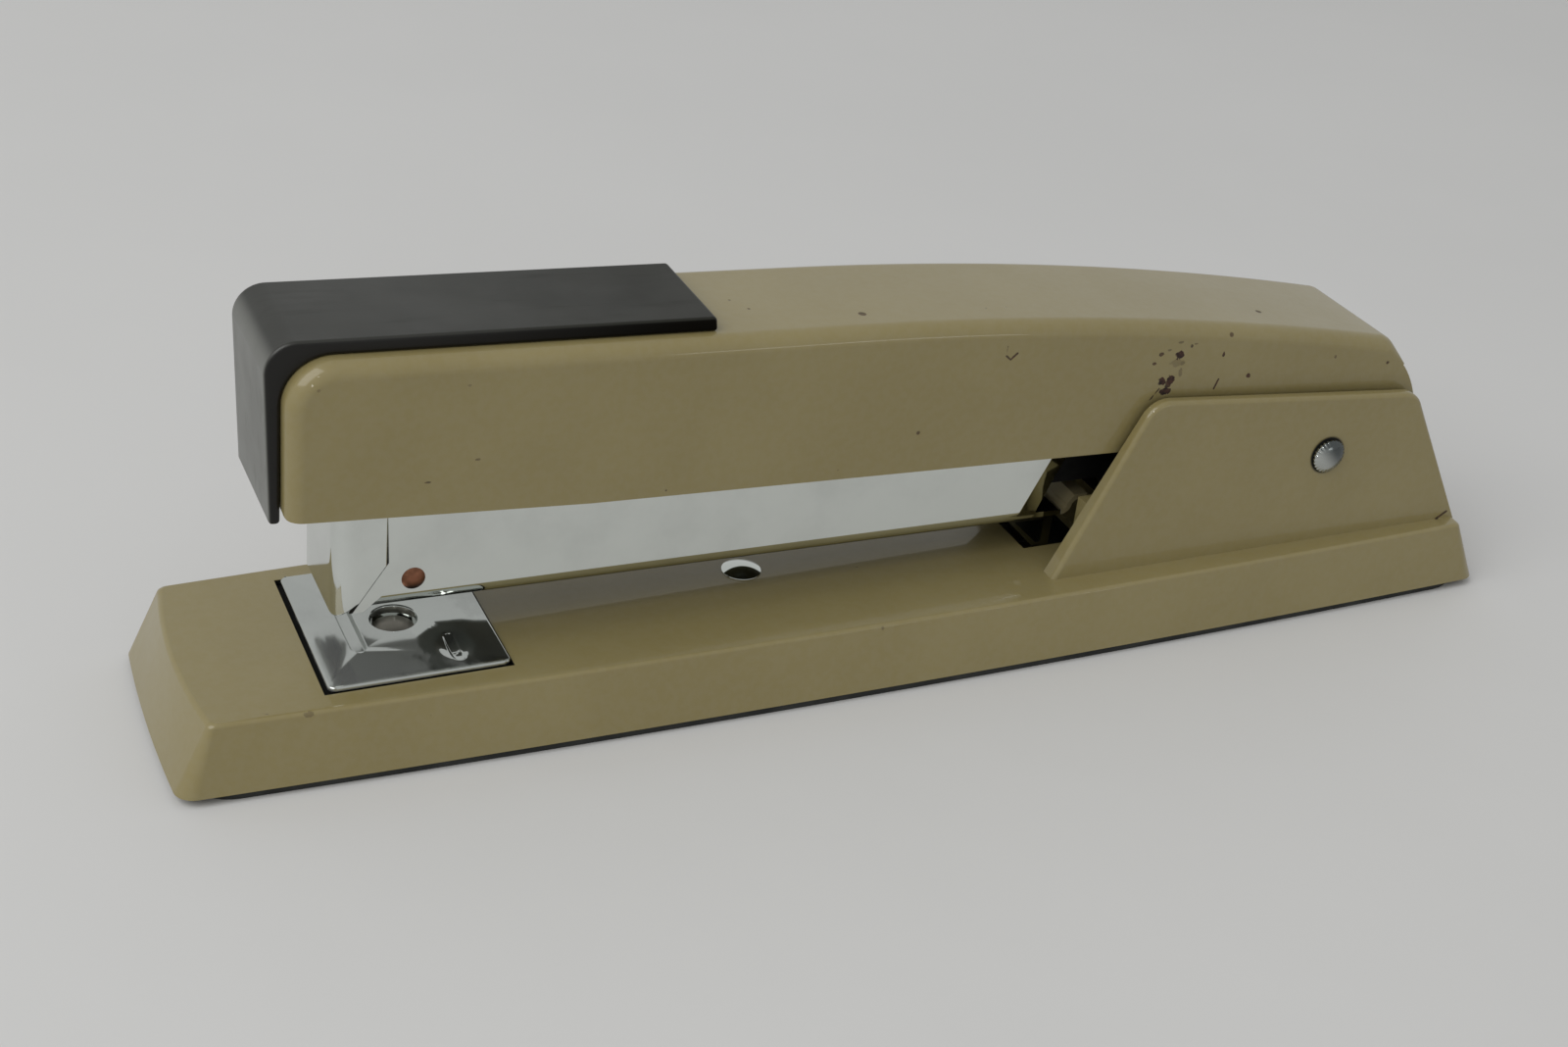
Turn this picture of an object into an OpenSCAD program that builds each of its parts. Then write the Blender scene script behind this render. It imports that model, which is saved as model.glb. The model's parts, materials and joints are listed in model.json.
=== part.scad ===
// Desk stapler: painted steel base and cover, chrome staple magazine, black cap.
// X runs along the length with the nose at -X, Y is the width, Z is up from the rubber foot.

/* [Base] */
// Length of the base where it meets the rubber foot
base_l = 196.6; // [184:0.1:210]
// Width of the base at mid-length
base_w = 38.8; // [36:0.2:44]
// Height of the base's flat top above the floor
base_h = 10.6; // [10:0.1:12]
// How far each long side bows outwards
side_bow = 1.6; // [0:0.1:2]
// How far each end bows outwards
end_bow = 0.5; // [0:0.1:2]
// How far the front end face leans in from foot to top
end_lean = 3.4; // [2:0.1:5]
// How far the rear end face leans in from foot to top
rear_lean = 4.7; // [3:0.1:5.5]
// How far each long side leans in from foot to top
side_lean = 1.4; // [0.5:0.1:2.5]
// Thickness of the steel sheet of the base
base_t = 1.1; // [0.8:0.1:1.4]
// Thickness of rubber that shows under the base
foot_h = 1.2; // [0.8:0.1:1.6]

/* [Hinge] */
// Distance of the hinge pin behind the middle of the base
pivot_x = 66.9; // [62:0.5:70]
// Height of the hinge pin above the floor
pivot_z = 24.3; // [23:0.1:26]
// Radius of the hinge pin
pin_r = 2.0; // [1.5:0.1:2.2]
// Radius of the domed ends of the hinge pin
pin_head_r = 2.6; // [2.4:0.1:3.2]
// Space between the two ears that carry the pin
ear_gap = 23.2; // [23:0.1:24]
// Height of the ears above the floor at their front corner
ear_top = 36.2; // [34:0.2:38]

/* [Anvil] */
// Distance of the anvil's turning axis ahead of the middle of the base
anvil_x = 66.8; // [64:0.1:68]
// Length of the anvil plate
anvil_l = 23.2; // [23:0.1:26]
// Width of the anvil plate
anvil_w = 27.0; // [24:0.1:30]
// Radius of the hole in the middle of the anvil plate
anvil_hole_r = 3.0; // [2.9:0.1:3.3]

/* [Magazine] */
// Outside width of the magazine channel
mag_w = 14.66; // [14.2:0.1:15.2]
// Height of the magazine channel
mag_h = 14.25; // [13.5:0.05:15]
// Thickness of the chrome sheet
mag_t = 0.8; // [0.6:0.05:0.8]
// Angle that the magazine is lifted at the nose when at rest
mag_tilt = 0.95; // [0.8:0.05:1.2]
// Distance of the nose face ahead of the middle of the base
nose_x = 76.3; // [75.5:0.1:76.6]

/* [Cover] */
// Outside width of the cover at the front
cover_w = 22.8; // [22:0.1:23]
// Outside width of the cover at the hinge
cover_w_rear = 21.2; // [20.6:0.1:21.4]
// Height of the cover's sides at the front
cover_h = 21.2; // [20:0.1:23]
// Thickness of the steel sheet of the cover
cover_t = 1.0; // [0.8:0.05:1.1]
// Radius of the sweep of the cover's top towards the hinge
cover_sweep = 545; // [500:5:900]
// Angle that the cover is lifted at the nose when at rest
cover_tilt = 2.37; // [2.2:0.01:2.5]

/* [Cap] */
// Thickness of the black cap
cap_t = 1.9; // [1.2:0.1:2.2]
// Width of the black cap
cap_w = 17.3; // [16:0.1:19]
// Distance of the cap's rear edge ahead of the middle of the base
cap_rear_x = 29.5; // [24:0.5:36]

/* [Hidden] */

$fn = 64;
eps = 0.01;      // thickness of the slices that a hull joins
run_fit = 0.05;  // radial clearance of a turning or sliding fit
paint = "#8f8760";
chrome = "#c9ced1";
steel = "#8b8f92";
dark = "#262624";
copper = "#a4694a";

// ---- base ----
crease_r = 0.6;
corner_r = 2.6;          // at the foot
corner_top_r = 0.9;      // and at the crease
base_hl = base_l / 2;
base_hw = base_w / 2;
outline_steps = 8;
foot_inset = 0.5;
foot_end_inset = 1.8;
foot_corner_r = 6;
foot_plug_h = 1.4;
foot_plug_inset = base_t + 0.5;

// ---- ears ----
ear_front_x = 22.5;
ear_top_front_x = 35.9;
ear_top_rear_x = 81.6;
ear_top_rear_z = 32.3;
ear_corner_r = 4.0;
pin_rim_h = 0.4;
pin_dome_h = 0.8;
ear_t_foot = 2.5;
ear_t_top = 1.3;
ear_rim = 1.1;           // width of the bevel round the ear's outer face
ear_rim_t = 0.6;
ear_rear_rim = 0.3;      // share of the bevel that is left at the rear foot
ear_foot_out = 0.4;      // the rear foot stands out this much over the end face
ear_tab = [28.2, 31.0];  // upright stop inside each ear
ear_tab_w = 2.2;
ear_tab_top = 20.7;
swing_slot = [53, 82];   // the cover's tail swings down through the top here
swing_slot_w = 22;

// ---- leaf spring and rivet under the base's top ----
leaf_t = 0.6;
leaf_w = 9;
leaf_front_x = -25;
leaf_rear_x = 29;
leaf_sag = 0.8;
rivet_x = -18.2;
rivet_head_r = 2.75;
rivet_head_h = 0.8;
rivet_r = 1.5;

// ---- anvil ----
seat_r = 11.4;
boss_r = 11.1;
seat_floor_z = base_h - 1.3;
plate_z = base_h + 0.05;
plate_t = 0.55;
groove_gap = 0.6;
groove_depth = 0.9;
plate_corner_r = 1.0;
web_z = plate_z - 0.8;   // floor of the hole in the plate
button_dome_h = 0.35;
crimp_x = -5.9;          // from the anvil's axis to the row that folds the legs inwards
pin_x = 5.6;             // and to the row that folds them outwards
crimp_hl = 5.4;          // half the length of the inward trough
crimp_r = 1.1;
crimp_depth = 0.9;
pin_trough = [5.8, 10.9];
pocket_r = 1.0;
pin_pocket_depth = 0.45;
stem_r = 1.9;
button_r = 6.4;
button_z = 0.6;
button_t = 1.6;
anvil_spring_r = 3.6;

// ---- magazine, drawn level and tilted about the pin ----
mag_z = 15.0;
mag_front_x = nose_x - 2.1;
mag_rear_top_x = 28.9;
mag_rear_low_x = 22.45;
mag_end_bevel = 3.1;
tail_hw = 5.5;
tail_bend_x = 28.7;
tail_bend_r = 1.5;
tail_lip = [30.8, 32.5];
tail_lip_z = mag_z + 2.1;
mag_bend_r = 2.35;
exit_len = 1.75;
exit_tab_z = mag_z + 0.2;
exit_slant = 2.5;
nose_t = 0.85;
nose_fit = 0.1;
nose_bend_r = 2.6;
nose_tip_l = 1.7;        // from the nose face to where the wings start to rise
nose_corner_r = 1.8;
nose_low_z = 14.9;
nose_top_z = mag_z + mag_h;
wing_rear_x = 69.8;
wing_low_z = 22.0;
rail_hw = 5.65;
rail_t = 0.9;
rail_top_z = 23.2;
rail_low_z = mag_z + 1.1;
bend_top_z = mag_z + 2.4;  // above the channel's lower bends
rail_rear_x = 23;
rod_r = 1.0;
rod_z = 19.8;
pusher_l = 12;
pusher_t = 0.6;
pusher_front_x = -72.0;
tongue_hw = 1.8;
rail_slot_end = 12;
mag_rivet_x = 66.2;
mag_rivet_z = mag_z + 4.2;
mag_rivet_shank_r = 0.9;
arm_t = 0.75;
arm_front_x = 13;
arm_low_z = mag_z + 6;
arm_drop_x = 33;
arm_web = [36, 52];
arm_eye_r = 5.2;
lug_rear_x = 27.7;
lug_front_x = 20.0;
lug_tip_x = 25.2;
lug_hw = 5.0;
lug_t = 0.7;
lug_leg_t = 1.4;
lug_hollow_front_x = 21.5;
lug_hollow_w = 0.8;      // at its lower end
lug_rivet_x = 24.1;
lug_rivet_r = 1.1;
lug_rivet_head_r = 1.6;
lug_low_z = 9.85;
lug_slot = [23.4, 34.0];
lug_slot_w = 10.4;

// ---- cover, drawn level and tilted about the pin ----
cover_low_z = 26.45;
cover_front_rise = 1.0;  // the lower edge climbs this much towards the front
cover_top_z = cover_low_z + cover_h;
cover_front_low_x = -82.9;
cover_front_top_x = -83.2;
cover_nose_r = 6.0;
cover_edge_r = 2.2;
cover_foot_r = 0.5;
hollow_foot_r = 0.2;
cover_rise_x = -45;      // where the lower edge starts to climb
cover_flat_end_x = -12;
cover_rear_x = 75.9;
flap = [[76.9, 39.7, 1.8], [79.3, 36.6, 0.3]];  // the top's end, bent down: x, z and shoulder radius
flap_angle = 53;
sweep_steps = 10;
cheek_front_x = 38;
cheek_r = 17.2;
cheek_end_angle = 43;
cheek_low_r = 12.5;

// ---- driver ----
blade_x = -74.05;
blade_t = 0.6;
blade_hw = 6.2;
blade_low_z = 20.5;
strip_t = 0.6;
strip_hw = 5.5;
strip_rear_x = -20;
strip_rivets = [-58, -42];
cap_stud_xs = [-68, -34];
cap_stud_r = 1.4;
cap_clip_r = 3.2;
cap_clip_t = 0.5;
cap_nose_r = 4.2;
cap_front_top_x = -85.6;
cap_front_low_x = -84.7;
cap_edge_r = 0.7;
cap_low_z = cover_low_z - 0.45;

// Points on an arc of a circle
function arc(c, r, a0, a1, n) =
    [for (i = [0:n]) let (a = a0 + (a1 - a0) * i / n) [c[0] + r * cos(a), c[1] + r * sin(a)]];

function unit(v) = v / norm(v);

// The arc that rounds corner p between its neighbours a and b, set in by an inset
function round_corner(p, a, b, r, inset, n) =
    let (u = unit(a - p), v = unit(b - p), w = unit(u + v), c = p + w * r / norm(u - w * (u * w)),
         from = unit(u * (u * w) - w), to = unit(v * (v * w) - w))
    [for (i = [0:n]) c + (r - inset) * unit(from * (1 - i / n) + to * i / n)];

// A quarter of the base's plan: the end, the corner and the side
function plan_quarter(hl, hw, r, sb, eb) =
    let (cx = hl - eb - r, cy = hw - sb - r)
    concat([for (i = [0:outline_steps - 1]) let (s = i / outline_steps)
                [cx + r + eb * (1 - s * s), cy * s]],
           arc([cx, cy], r, 0, 90, outline_steps),
           [for (i = [outline_steps - 1:-1:0]) let (s = i / outline_steps)
                [cx * s, cy + r + sb * (1 - s * s)]]);

function turned(points) = [for (p = points) -p];
function mirrored(points) = [for (i = [len(points) - 1:-1:0]) [-points[i][0], points[i][1]]];

function plan(hl, hw, r, sb, eb) =
    let (q = plan_quarter(hl, hw, r, sb, eb), half = concat(q, mirrored(q)))
    concat(half, turned(half));

// Turns a level part about the hinge pin, nose up
module tilted(angle) {
    translate([pivot_x, 0, pivot_z]) rotate([0, angle, 0]) translate([-pivot_x, 0, -pivot_z])
        children();
}

module both_sides() {
    children();
    mirror([0, 1, 0]) children();
}

// Extrudes an XZ outline across the width, between two Y values
module across(y0, y1) {
    translate([0, y1, 0]) rotate([90, 0, 0]) linear_extrude(y1 - y0) children();
}

// Extrudes a YZ outline along the length, between two X values
module along(x0, x1) {
    translate([x0, 0, 0]) rotate([90, 0, 90]) linear_extrude(x1 - x0) children();
}

// A box given by its lowest and highest corners
module box(low, high) {
    translate(low) cube(high - low);
}

// A round bar along Y
module y_bar(x, z, r, y0, y1) {
    translate([x, y1, z]) rotate([90, 0, 0]) cylinder(r = r, h = y1 - y0);
}

// A round tube along Y
module y_tube(x, z, r_in, r_out, y0, y1) {
    difference() {
        y_bar(x, z, r_out, y0, y1);
        y_bar(x, z, r_in, y0 - 1, y1 + 1);
    }
}

// A domed rivet head standing up from z = 0
module dome(r, h) {
    ball = (r * r + h * h) / (2 * h);
    rotate_extrude() intersection() {
        translate([0, h - ball]) circle(ball);
        square([r, h]);
    }
}

// A helical wire spring standing up from z = 0
module coil(r, wire, length, turns, steps) {
    sides = 6;
    rings = turns * steps;
    rise = length - 2 * wire;
    points = [for (i = [0:rings], k = [0:sides - 1])
        let (a = 360 * i / steps, b = 360 * k / sides, rr = r + wire * cos(b))
        [rr * cos(a), rr * sin(a), wire + rise * i / rings + wire * sin(b)]];
    walls = [for (i = [0:rings - 1], k = [0:sides - 1])
        let (n = (k + 1) % sides, lo = i * sides, hi = (i + 1) * sides)
        [lo + k, lo + n, hi + n, hi + k]];
    first = [for (k = [sides - 1:-1:0]) k];
    last = [for (k = [0:sides - 1]) rings * sides + k];
    polyhedron(points, concat(walls, [first, last]), convexity = 10);
}

// A rectangle with round lower corners, standing on y = 0
module round_foot(hw, h, r) {
    translate([-hw, r]) square([2 * hw, h - r]);
    translate([r - hw, 0]) square([2 * (hw - r), r]);
    for (side = [-1, 1]) translate([side * (hw - r), r]) circle(r);
}

// A disc with a round rim, lying across the width
module puck(x, z, r, hw, edge) {
    e = min(edge, r - eps);
    rim = concat([[0, -hw]], arc([r - e, e - hw], e, -90, 0, 5), arc([r - e, hw - e], e, 0, 90, 5), [[0, hw]]);
    translate([x, 0, z]) rotate([90, 0, 0]) rotate_extrude($fn = 32) polygon(rim);
}

// ---------------- base ----------------
// One level of the base: the walls lean in up to the crease
module base_layer(z, inset) {
    s = (z - foot_h) / (base_h - foot_h);
    translate([(end_lean - rear_lean) / 2 * s, 0, z - eps]) linear_extrude(eps)
        polygon(plan(base_hl - inset - (end_lean + rear_lean) / 2 * s, base_hw - inset - side_lean * s,
                     max(corner_r + (corner_top_r - corner_r) * s - inset, 1), side_bow, end_bow));
}

module base_form(inset, low_z) {
    hull() {
        base_layer(low_z + eps, inset);
        for (a = [0:18:90])
            base_layer(base_h - inset - crease_r * (1 - sin(a)), inset + crease_r * (1 - cos(a)));
    }
}

module ear_outline(inset) {
    low = base_h - base_t;
    foot_front = [ear_front_x, low];
    foot_rear = [base_hl - rear_lean + ear_foot_out, low];
    top_front = [ear_top_front_x, ear_top];
    top_rear = [ear_top_rear_x, ear_top_rear_z];
    polygon(concat([foot_rear - [inset * ear_rear_rim, 0], foot_front + [inset, 0]],
                   round_corner(top_front, foot_front, top_rear, ear_corner_r, inset, 8),
                   round_corner(top_rear, top_front, foot_rear, ear_corner_r, inset, 8)));
}

// The ear's outer face leans in and has a bevel round its rim
module ear() {
    inner = ear_gap / 2;
    lean = atan2(ear_t_foot - ear_t_top, ear_top - base_h);
    hull() {
        across(inner, inner + ear_rim_t) ear_outline(0);
        translate([0, inner + ear_t_foot, base_h]) rotate([lean, 0, 0]) translate([0, 0, -base_h])
            across(-eps, 0) ear_outline(ear_rim);
    }
}

module anvil_seat_cuts() {
    front = anvil_l / 2 + groove_gap;
    rear = anvil_l / 2 + groove_gap / 2;
    side = anvil_w / 2 + groove_gap / 2;
    translate([-anvil_x, 0, 0]) {
        translate([0, 0, seat_floor_z]) cylinder(r = seat_r, h = base_h);
        cylinder(r = stem_r + run_fit, h = base_h);
        difference() {
            box([-front, -side, base_h - groove_depth], [rear, side, base_h + 1]);
            cube([anvil_l - 2 * groove_gap, anvil_w - 2 * groove_gap, 3 * base_h], center = true);
        }
    }
}

module base_shell() {
    tab_inner = ear_gap / 2 - ear_tab_w;
    color(paint) difference() {
        union() {
            difference() {
                base_form(0, foot_h);
                base_form(base_t, 0);
            }
            translate([-anvil_x, 0, seat_floor_z - base_t]) cylinder(r = seat_r + base_t, h = base_t * 2);
            both_sides() {
                ear();
                box([ear_tab[0], tab_inner, base_h - base_t], [ear_tab[1], ear_gap / 2 + ear_rim_t, ear_tab_top]);
            }
        }
        anvil_seat_cuts();
        box([lug_slot[0], -lug_slot_w / 2, 0], [lug_slot[1], lug_slot_w / 2, base_h + 1]);
        box([swing_slot[0], -swing_slot_w / 2, 0], [swing_slot[1], swing_slot_w / 2, base_h + 1]);
        translate([rivet_x, 0, 0]) cylinder(r = rivet_r, h = base_h + 1);
        y_bar(pivot_x, pivot_z, pin_r, -base_w, base_w);
    }
}

module rubber_foot() {
    color(dark) difference() {
        union() {
            linear_extrude(foot_h)
                polygon(plan(base_hl - foot_end_inset, base_hw - foot_inset, foot_corner_r, side_bow, end_bow));
            linear_extrude(foot_h + foot_plug_h)
                polygon(plan(base_hl - foot_end_inset - foot_inset, base_hw - foot_plug_inset,
                             foot_corner_r - foot_inset, side_bow, end_bow));
        }
        translate([-anvil_x, 0, -1]) cylinder(r = button_r + 0.8, h = base_h);
    }
}

// A flat strip that dips a little at its free end, below the magazine's lug
module base_leaf_spring() {
    top = base_h - base_t;
    color(steel) difference() {
        across(-leaf_w / 2, leaf_w / 2) polygon([
            [leaf_front_x, top], [rivet_x + leaf_w / 2, top], [leaf_rear_x, top - leaf_sag],
            [leaf_rear_x, top - leaf_sag - leaf_t], [rivet_x + leaf_w / 2, top - leaf_t],
            [leaf_front_x, top - leaf_t]]);
        translate([rivet_x, 0, 0]) cylinder(r = rivet_r, h = base_h);
    }
}

module base_rivet() {
    low = base_h - base_t - leaf_t;
    color(chrome) translate([rivet_x, 0, 0]) {
        translate([0, 0, low]) cylinder(r = rivet_r, h = base_h - low);
        translate([0, 0, base_h]) dome(rivet_head_r, rivet_head_h);
        translate([0, 0, low]) mirror([0, 0, 1]) dome(rivet_head_r, rivet_head_h);
    }
}

function ear_outer_y(z) = ear_gap / 2 + ear_t_foot
    - (ear_t_foot - ear_t_top) * (z - base_h) / (ear_top - base_h);

module hinge_pin() {
    half = ear_outer_y(pivot_z - pin_head_r);
    color(chrome) {
        y_bar(pivot_x, pivot_z, pin_r, -half - pin_rim_h / 2, half + pin_rim_h / 2);
        both_sides() translate([pivot_x, half, pivot_z]) rotate([-90, 0, 0]) {
            cylinder(r = pin_head_r, h = pin_rim_h);
            translate([0, 0, pin_rim_h]) dome(pin_head_r, pin_dome_h);
        }
    }
}

// Flat washers between the cover's cheeks and the ears
module ear_washers() {
    inner = cover_w_rear / 2 + 0.1;
    color(steel) both_sides()
        y_tube(pivot_x, pivot_z, pin_r, 2 * pin_r, inner, ear_gap / 2 - run_fit);
}

// Tubes on the pin that keep the magazine's arms and the cover's cheeks apart
module hinge_spacers() {
    arm_inner = rail_hw + run_fit;
    arm_outer = arm_inner + arm_t;
    cheek_inner = cover_w_rear / 2 - cover_t;
    color(steel) {
        y_tube(pivot_x, pivot_z, pin_r, 1.6 * pin_r, 0.1 - arm_inner, arm_inner - 0.1);
        both_sides() y_tube(pivot_x, pivot_z, pin_r, 1.6 * pin_r, arm_outer + 0.1, cheek_inner - 0.1);
    }
}

// ---------------- anvil ----------------
// A trough along Y with round ends, cut from above
module trough(x, y0, y1, r, depth) {
    translate([x, 0, plate_z + plate_t + r - depth]) {
        rotate([90, 0, 0]) translate([0, 0, -y1]) cylinder(r = r, h = y1 - y0);
        for (y = [y0, y1]) translate([0, y, 0]) sphere(r);
    }
}

module anvil_plate() {
    hl = anvil_l / 2 - plate_corner_r;
    hw = anvil_w / 2 - plate_corner_r;
    color(chrome) translate([-anvil_x, 0, 0]) difference() {
        union() {
            translate([0, 0, plate_z]) linear_extrude(plate_t) {
                square([anvil_l, 2 * hw], center = true);
                square([2 * hl, anvil_w], center = true);
                for (x = [-hl, hl], y = [-hw, hw]) translate([x, y]) circle(plate_corner_r);
            }
            translate([0, 0, seat_floor_z + 0.1]) cylinder(r = boss_r, h = plate_z - seat_floor_z);
        }
        translate([0, 0, web_z]) cylinder(r = anvil_hole_r, h = base_h);
        cylinder(r = stem_r + run_fit, h = base_h + 2);
        trough(crimp_x, -crimp_hl, crimp_hl, crimp_r, crimp_depth);
        both_sides() trough(pin_x, pin_trough[0], pin_trough[1], pocket_r, pin_pocket_depth);
    }
}

// The push button under the base, its stem and the head that shows in the plate's hole
module anvil_button() {
    color(steel) translate([-anvil_x, 0, 0]) {
        translate([0, 0, button_z]) cylinder(r = button_r, h = button_t);
        translate([0, 0, button_z]) cylinder(r = stem_r, h = web_z - button_z);
        translate([0, 0, web_z]) dome(anvil_hole_r - 0.3, button_dome_h);
    }
}

module anvil_spring() {
    low = button_z + button_t;
    color(steel) translate([-anvil_x, 0, low])
        coil(anvil_spring_r, 0.3, seat_floor_z - base_t - low, 4, 16);
}

// ---------------- magazine ----------------
module channel_section() {
    hw = mag_w / 2;
    translate([0, mag_z]) difference() {
        round_foot(hw, mag_h, mag_bend_r);
        translate([0, mag_t]) round_foot(hw - mag_t, mag_h, mag_bend_r - mag_t);
    }
}

// The floor runs on behind the walls, turns up and ends in a lip
module magazine_tail() {
    c = [tail_bend_x, mag_z + tail_bend_r];
    start = mag_rear_low_x - 1;
    across(-tail_hw, tail_hw) polygon(concat(
        [[start, mag_z + mag_t], [start, mag_z]],
        arc(c, tail_bend_r, -90, 0, 8),
        [[tail_lip[0], tail_lip_z], [tail_lip[1], tail_lip_z], [tail_lip[1], tail_lip_z + mag_t],
         [tail_lip[0] - mag_t / 2, tail_lip_z + mag_t]],
        arc(c, tail_bend_r - mag_t, 0, -90, 8)));
}

module magazine_channel() {
    hw = mag_w / 2;
    slant = atan2(mag_rear_top_x - mag_rear_low_x, mag_h);
    exit_x = exit_len - mag_front_x;
    color(chrome) tilted(mag_tilt) {
        difference() {
            along(-mag_front_x, mag_rear_top_x) channel_section();
            translate([mag_rear_low_x, -hw - 1, mag_z]) rotate([0, slant, 0])
                translate([0, 0, -5]) cube([20, 2 * hw + 2, 30]);
            box([-mag_front_x - 1, mag_t - hw, 0], [exit_x, hw - mag_t, mag_z + mag_bend_r]);
            both_sides() translate([mag_rear_low_x, hw, mag_z]) rotate([0, slant, 0])
                translate([0, 0, -5]) linear_extrude(30)
                    polygon([[eps, eps], [-mag_end_bevel, eps], [eps, -mag_t * 0.7]]);
            y_bar(-mag_rivet_x, mag_rivet_z, mag_rivet_shank_r, -hw - 1, hw + 1);
        }
        magazine_tail();
        both_sides() across(hw - mag_t, hw) polygon([
            [-mag_front_x, exit_tab_z], [exit_x, exit_tab_z],
            [exit_x + exit_slant, mag_z + mag_bend_r], [-mag_front_x, mag_z + mag_bend_r]]);
    }
}

module nose_plate() {
    hw = mag_w / 2 + nose_fit + nose_t;
    color(chrome) tilted(mag_tilt) intersection() {
        translate([-nose_x, 0, nose_low_z]) linear_extrude(nose_top_z - nose_low_z) difference() {
            rotate(-90) round_foot(hw, nose_x - wing_rear_x, nose_bend_r);
            translate([nose_t, 0]) rotate(-90) round_foot(hw - nose_t, nose_x, nose_bend_r - nose_t);
        }
        across(-hw, hw) polygon([
            [-nose_x, nose_low_z], [nose_tip_l - nose_x, nose_low_z], [-wing_rear_x, wing_low_z],
            [-wing_rear_x, nose_top_z], [-nose_x, nose_top_z]]);
        along(-nose_x, -wing_rear_x) translate([0, nose_low_z])
            round_foot(hw, nose_top_z - nose_low_z, nose_corner_r);
    }
}

// The core that the staples ride on, with a slot on top for the pusher's tongue
module staple_rail() {
    front = exit_len - mag_front_x;
    color(steel) tilted(mag_tilt) difference() {
        box([front, -rail_hw, rail_low_z], [rail_rear_x, rail_hw, rail_top_z]);
        box([front + rail_t, rail_t - rail_hw, 0], [rail_rear_x - rail_t, rail_hw - rail_t, rail_top_z - rail_t]);
        box([front + rail_t, -tongue_hw - 0.3, 0], [rail_slot_end, tongue_hw + 0.3, rail_top_z + 1]);
        translate([front - 1, 0, rod_z]) rotate([0, 90, 0]) cylinder(r = rod_r, h = rail_rear_x - front + 2);
    }
}

module magazine_arms() {
    inner = rail_hw + run_fit;
    outer = inner + arm_t;
    low = rail_low_z;
    color(dark) tilted(mag_tilt) difference() {
        union() {
            both_sides() across(inner, outer) {
                polygon([[arm_front_x, arm_low_z], [arm_drop_x, arm_low_z], [arm_web[0], low],
                         [arm_web[1], low], [pivot_x, pivot_z - arm_eye_r],
                         [pivot_x, pivot_z + arm_eye_r], [mag_rear_low_x, rail_top_z + 1],
                         [arm_front_x, rail_top_z]]);
                translate([pivot_x, pivot_z]) circle(arm_eye_r);
            }
            box([arm_web[0], -outer, low], [arm_web[1], outer, low + arm_t]);
        }
        y_bar(pivot_x, pivot_z, pin_r + run_fit, -outer - 1, outer + 1);
    }
}

// Flush copper rivets in the channel's walls, one on each side
module magazine_rivets() {
    hw = mag_w / 2;
    color(copper) tilted(mag_tilt) both_sides() translate([-mag_rivet_x, hw, mag_rivet_z]) {
        rotate([-90, 0, 0]) dome(1.5, 0.5);
        rotate([90, 0, 0]) cylinder(r = mag_rivet_shank_r, h = mag_t);
    }
}

// A strip folded into a V under the magazine; it reaches the leaf spring through the slot
module magazine_lug() {
    hollow_rear_x = lug_rear_x - lug_leg_t;
    color(steel) tilted(mag_tilt) difference() {
        across(-lug_hw, lug_hw) difference() {
            polygon([[lug_front_x, mag_z], [lug_rear_x, mag_z], [lug_rear_x, lug_low_z],
                     [lug_tip_x, lug_low_z]]);
            polygon([[lug_hollow_front_x, mag_z - lug_t], [hollow_rear_x, mag_z - lug_t],
                     [hollow_rear_x, lug_low_z + lug_t], [hollow_rear_x - lug_hollow_w, lug_low_z + lug_t]]);
        }
        translate([lug_rivet_x, 0, mag_z - lug_t - 0.5]) cylinder(r = lug_rivet_r, h = lug_t + 1);
    }
}

module lug_rivet() {
    color(steel) tilted(mag_tilt) translate([lug_rivet_x, 0, 0]) {
        translate([0, 0, mag_z - lug_t]) cylinder(r = lug_rivet_r, h = lug_t);
        translate([0, 0, mag_z - lug_t]) mirror([0, 0, 1]) dome(lug_rivet_head_r, 0.4);
    }
}

module pusher_rod() {
    front = exit_len - mag_front_x;
    color(steel) tilted(mag_tilt) translate([front, 0, rod_z]) rotate([0, 90, 0])
        cylinder(r = rod_r, h = rail_rear_x - front);
}

// A saddle that straddles the rail, with a tongue that slides on the rod
module staple_pusher() {
    inner = rail_hw + 0.15;
    outer = inner + pusher_t;
    rear = pusher_front_x + pusher_l;
    top = rail_top_z + 0.1 + pusher_t;
    color(steel) tilted(mag_tilt) difference() {
        union() {
            difference() {
                box([pusher_front_x, -outer, bend_top_z], [rear, outer, top]);
                box([pusher_front_x - 1, -inner, 0], [rear + 1, inner, top - pusher_t]);
            }
            box([pusher_front_x + 4, -tongue_hw, rod_z - tongue_hw], [rear - 3, tongue_hw, top]);
        }
        translate([pusher_front_x - 1, 0, rod_z]) rotate([0, 90, 0])
            cylinder(r = rod_r + run_fit, h = pusher_l + 2);
    }
}

module pusher_spring() {
    start = pusher_front_x + pusher_l - 3;
    color(steel) tilted(mag_tilt) translate([start, 0, rod_z]) rotate([0, 90, 0])
        coil(1.7, 0.3, rail_rear_x - rail_t - start, 24, 8);
}

// ---------------- cover ----------------
function cover_top(x) = cover_top_z
    - (x > cover_flat_end_x ? cover_sweep - sqrt(pow(cover_sweep, 2) - pow(x - cover_flat_end_x, 2)) : 0);

function cover_hw(x) = cover_w_rear / 2 + (cover_w - cover_w_rear) / 2 * (pivot_x - x) / (pivot_x - cover_front_low_x);

// A cross-section of the cover at x, with round shoulders
module cover_slice(x, top, inset, low, r = cover_edge_r) {
    translate([0, 0, top]) along(x, x + eps) mirror([0, 1])
        round_foot(cover_hw(x) - inset, top - low, max(r - inset, hollow_foot_r));
}

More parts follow.
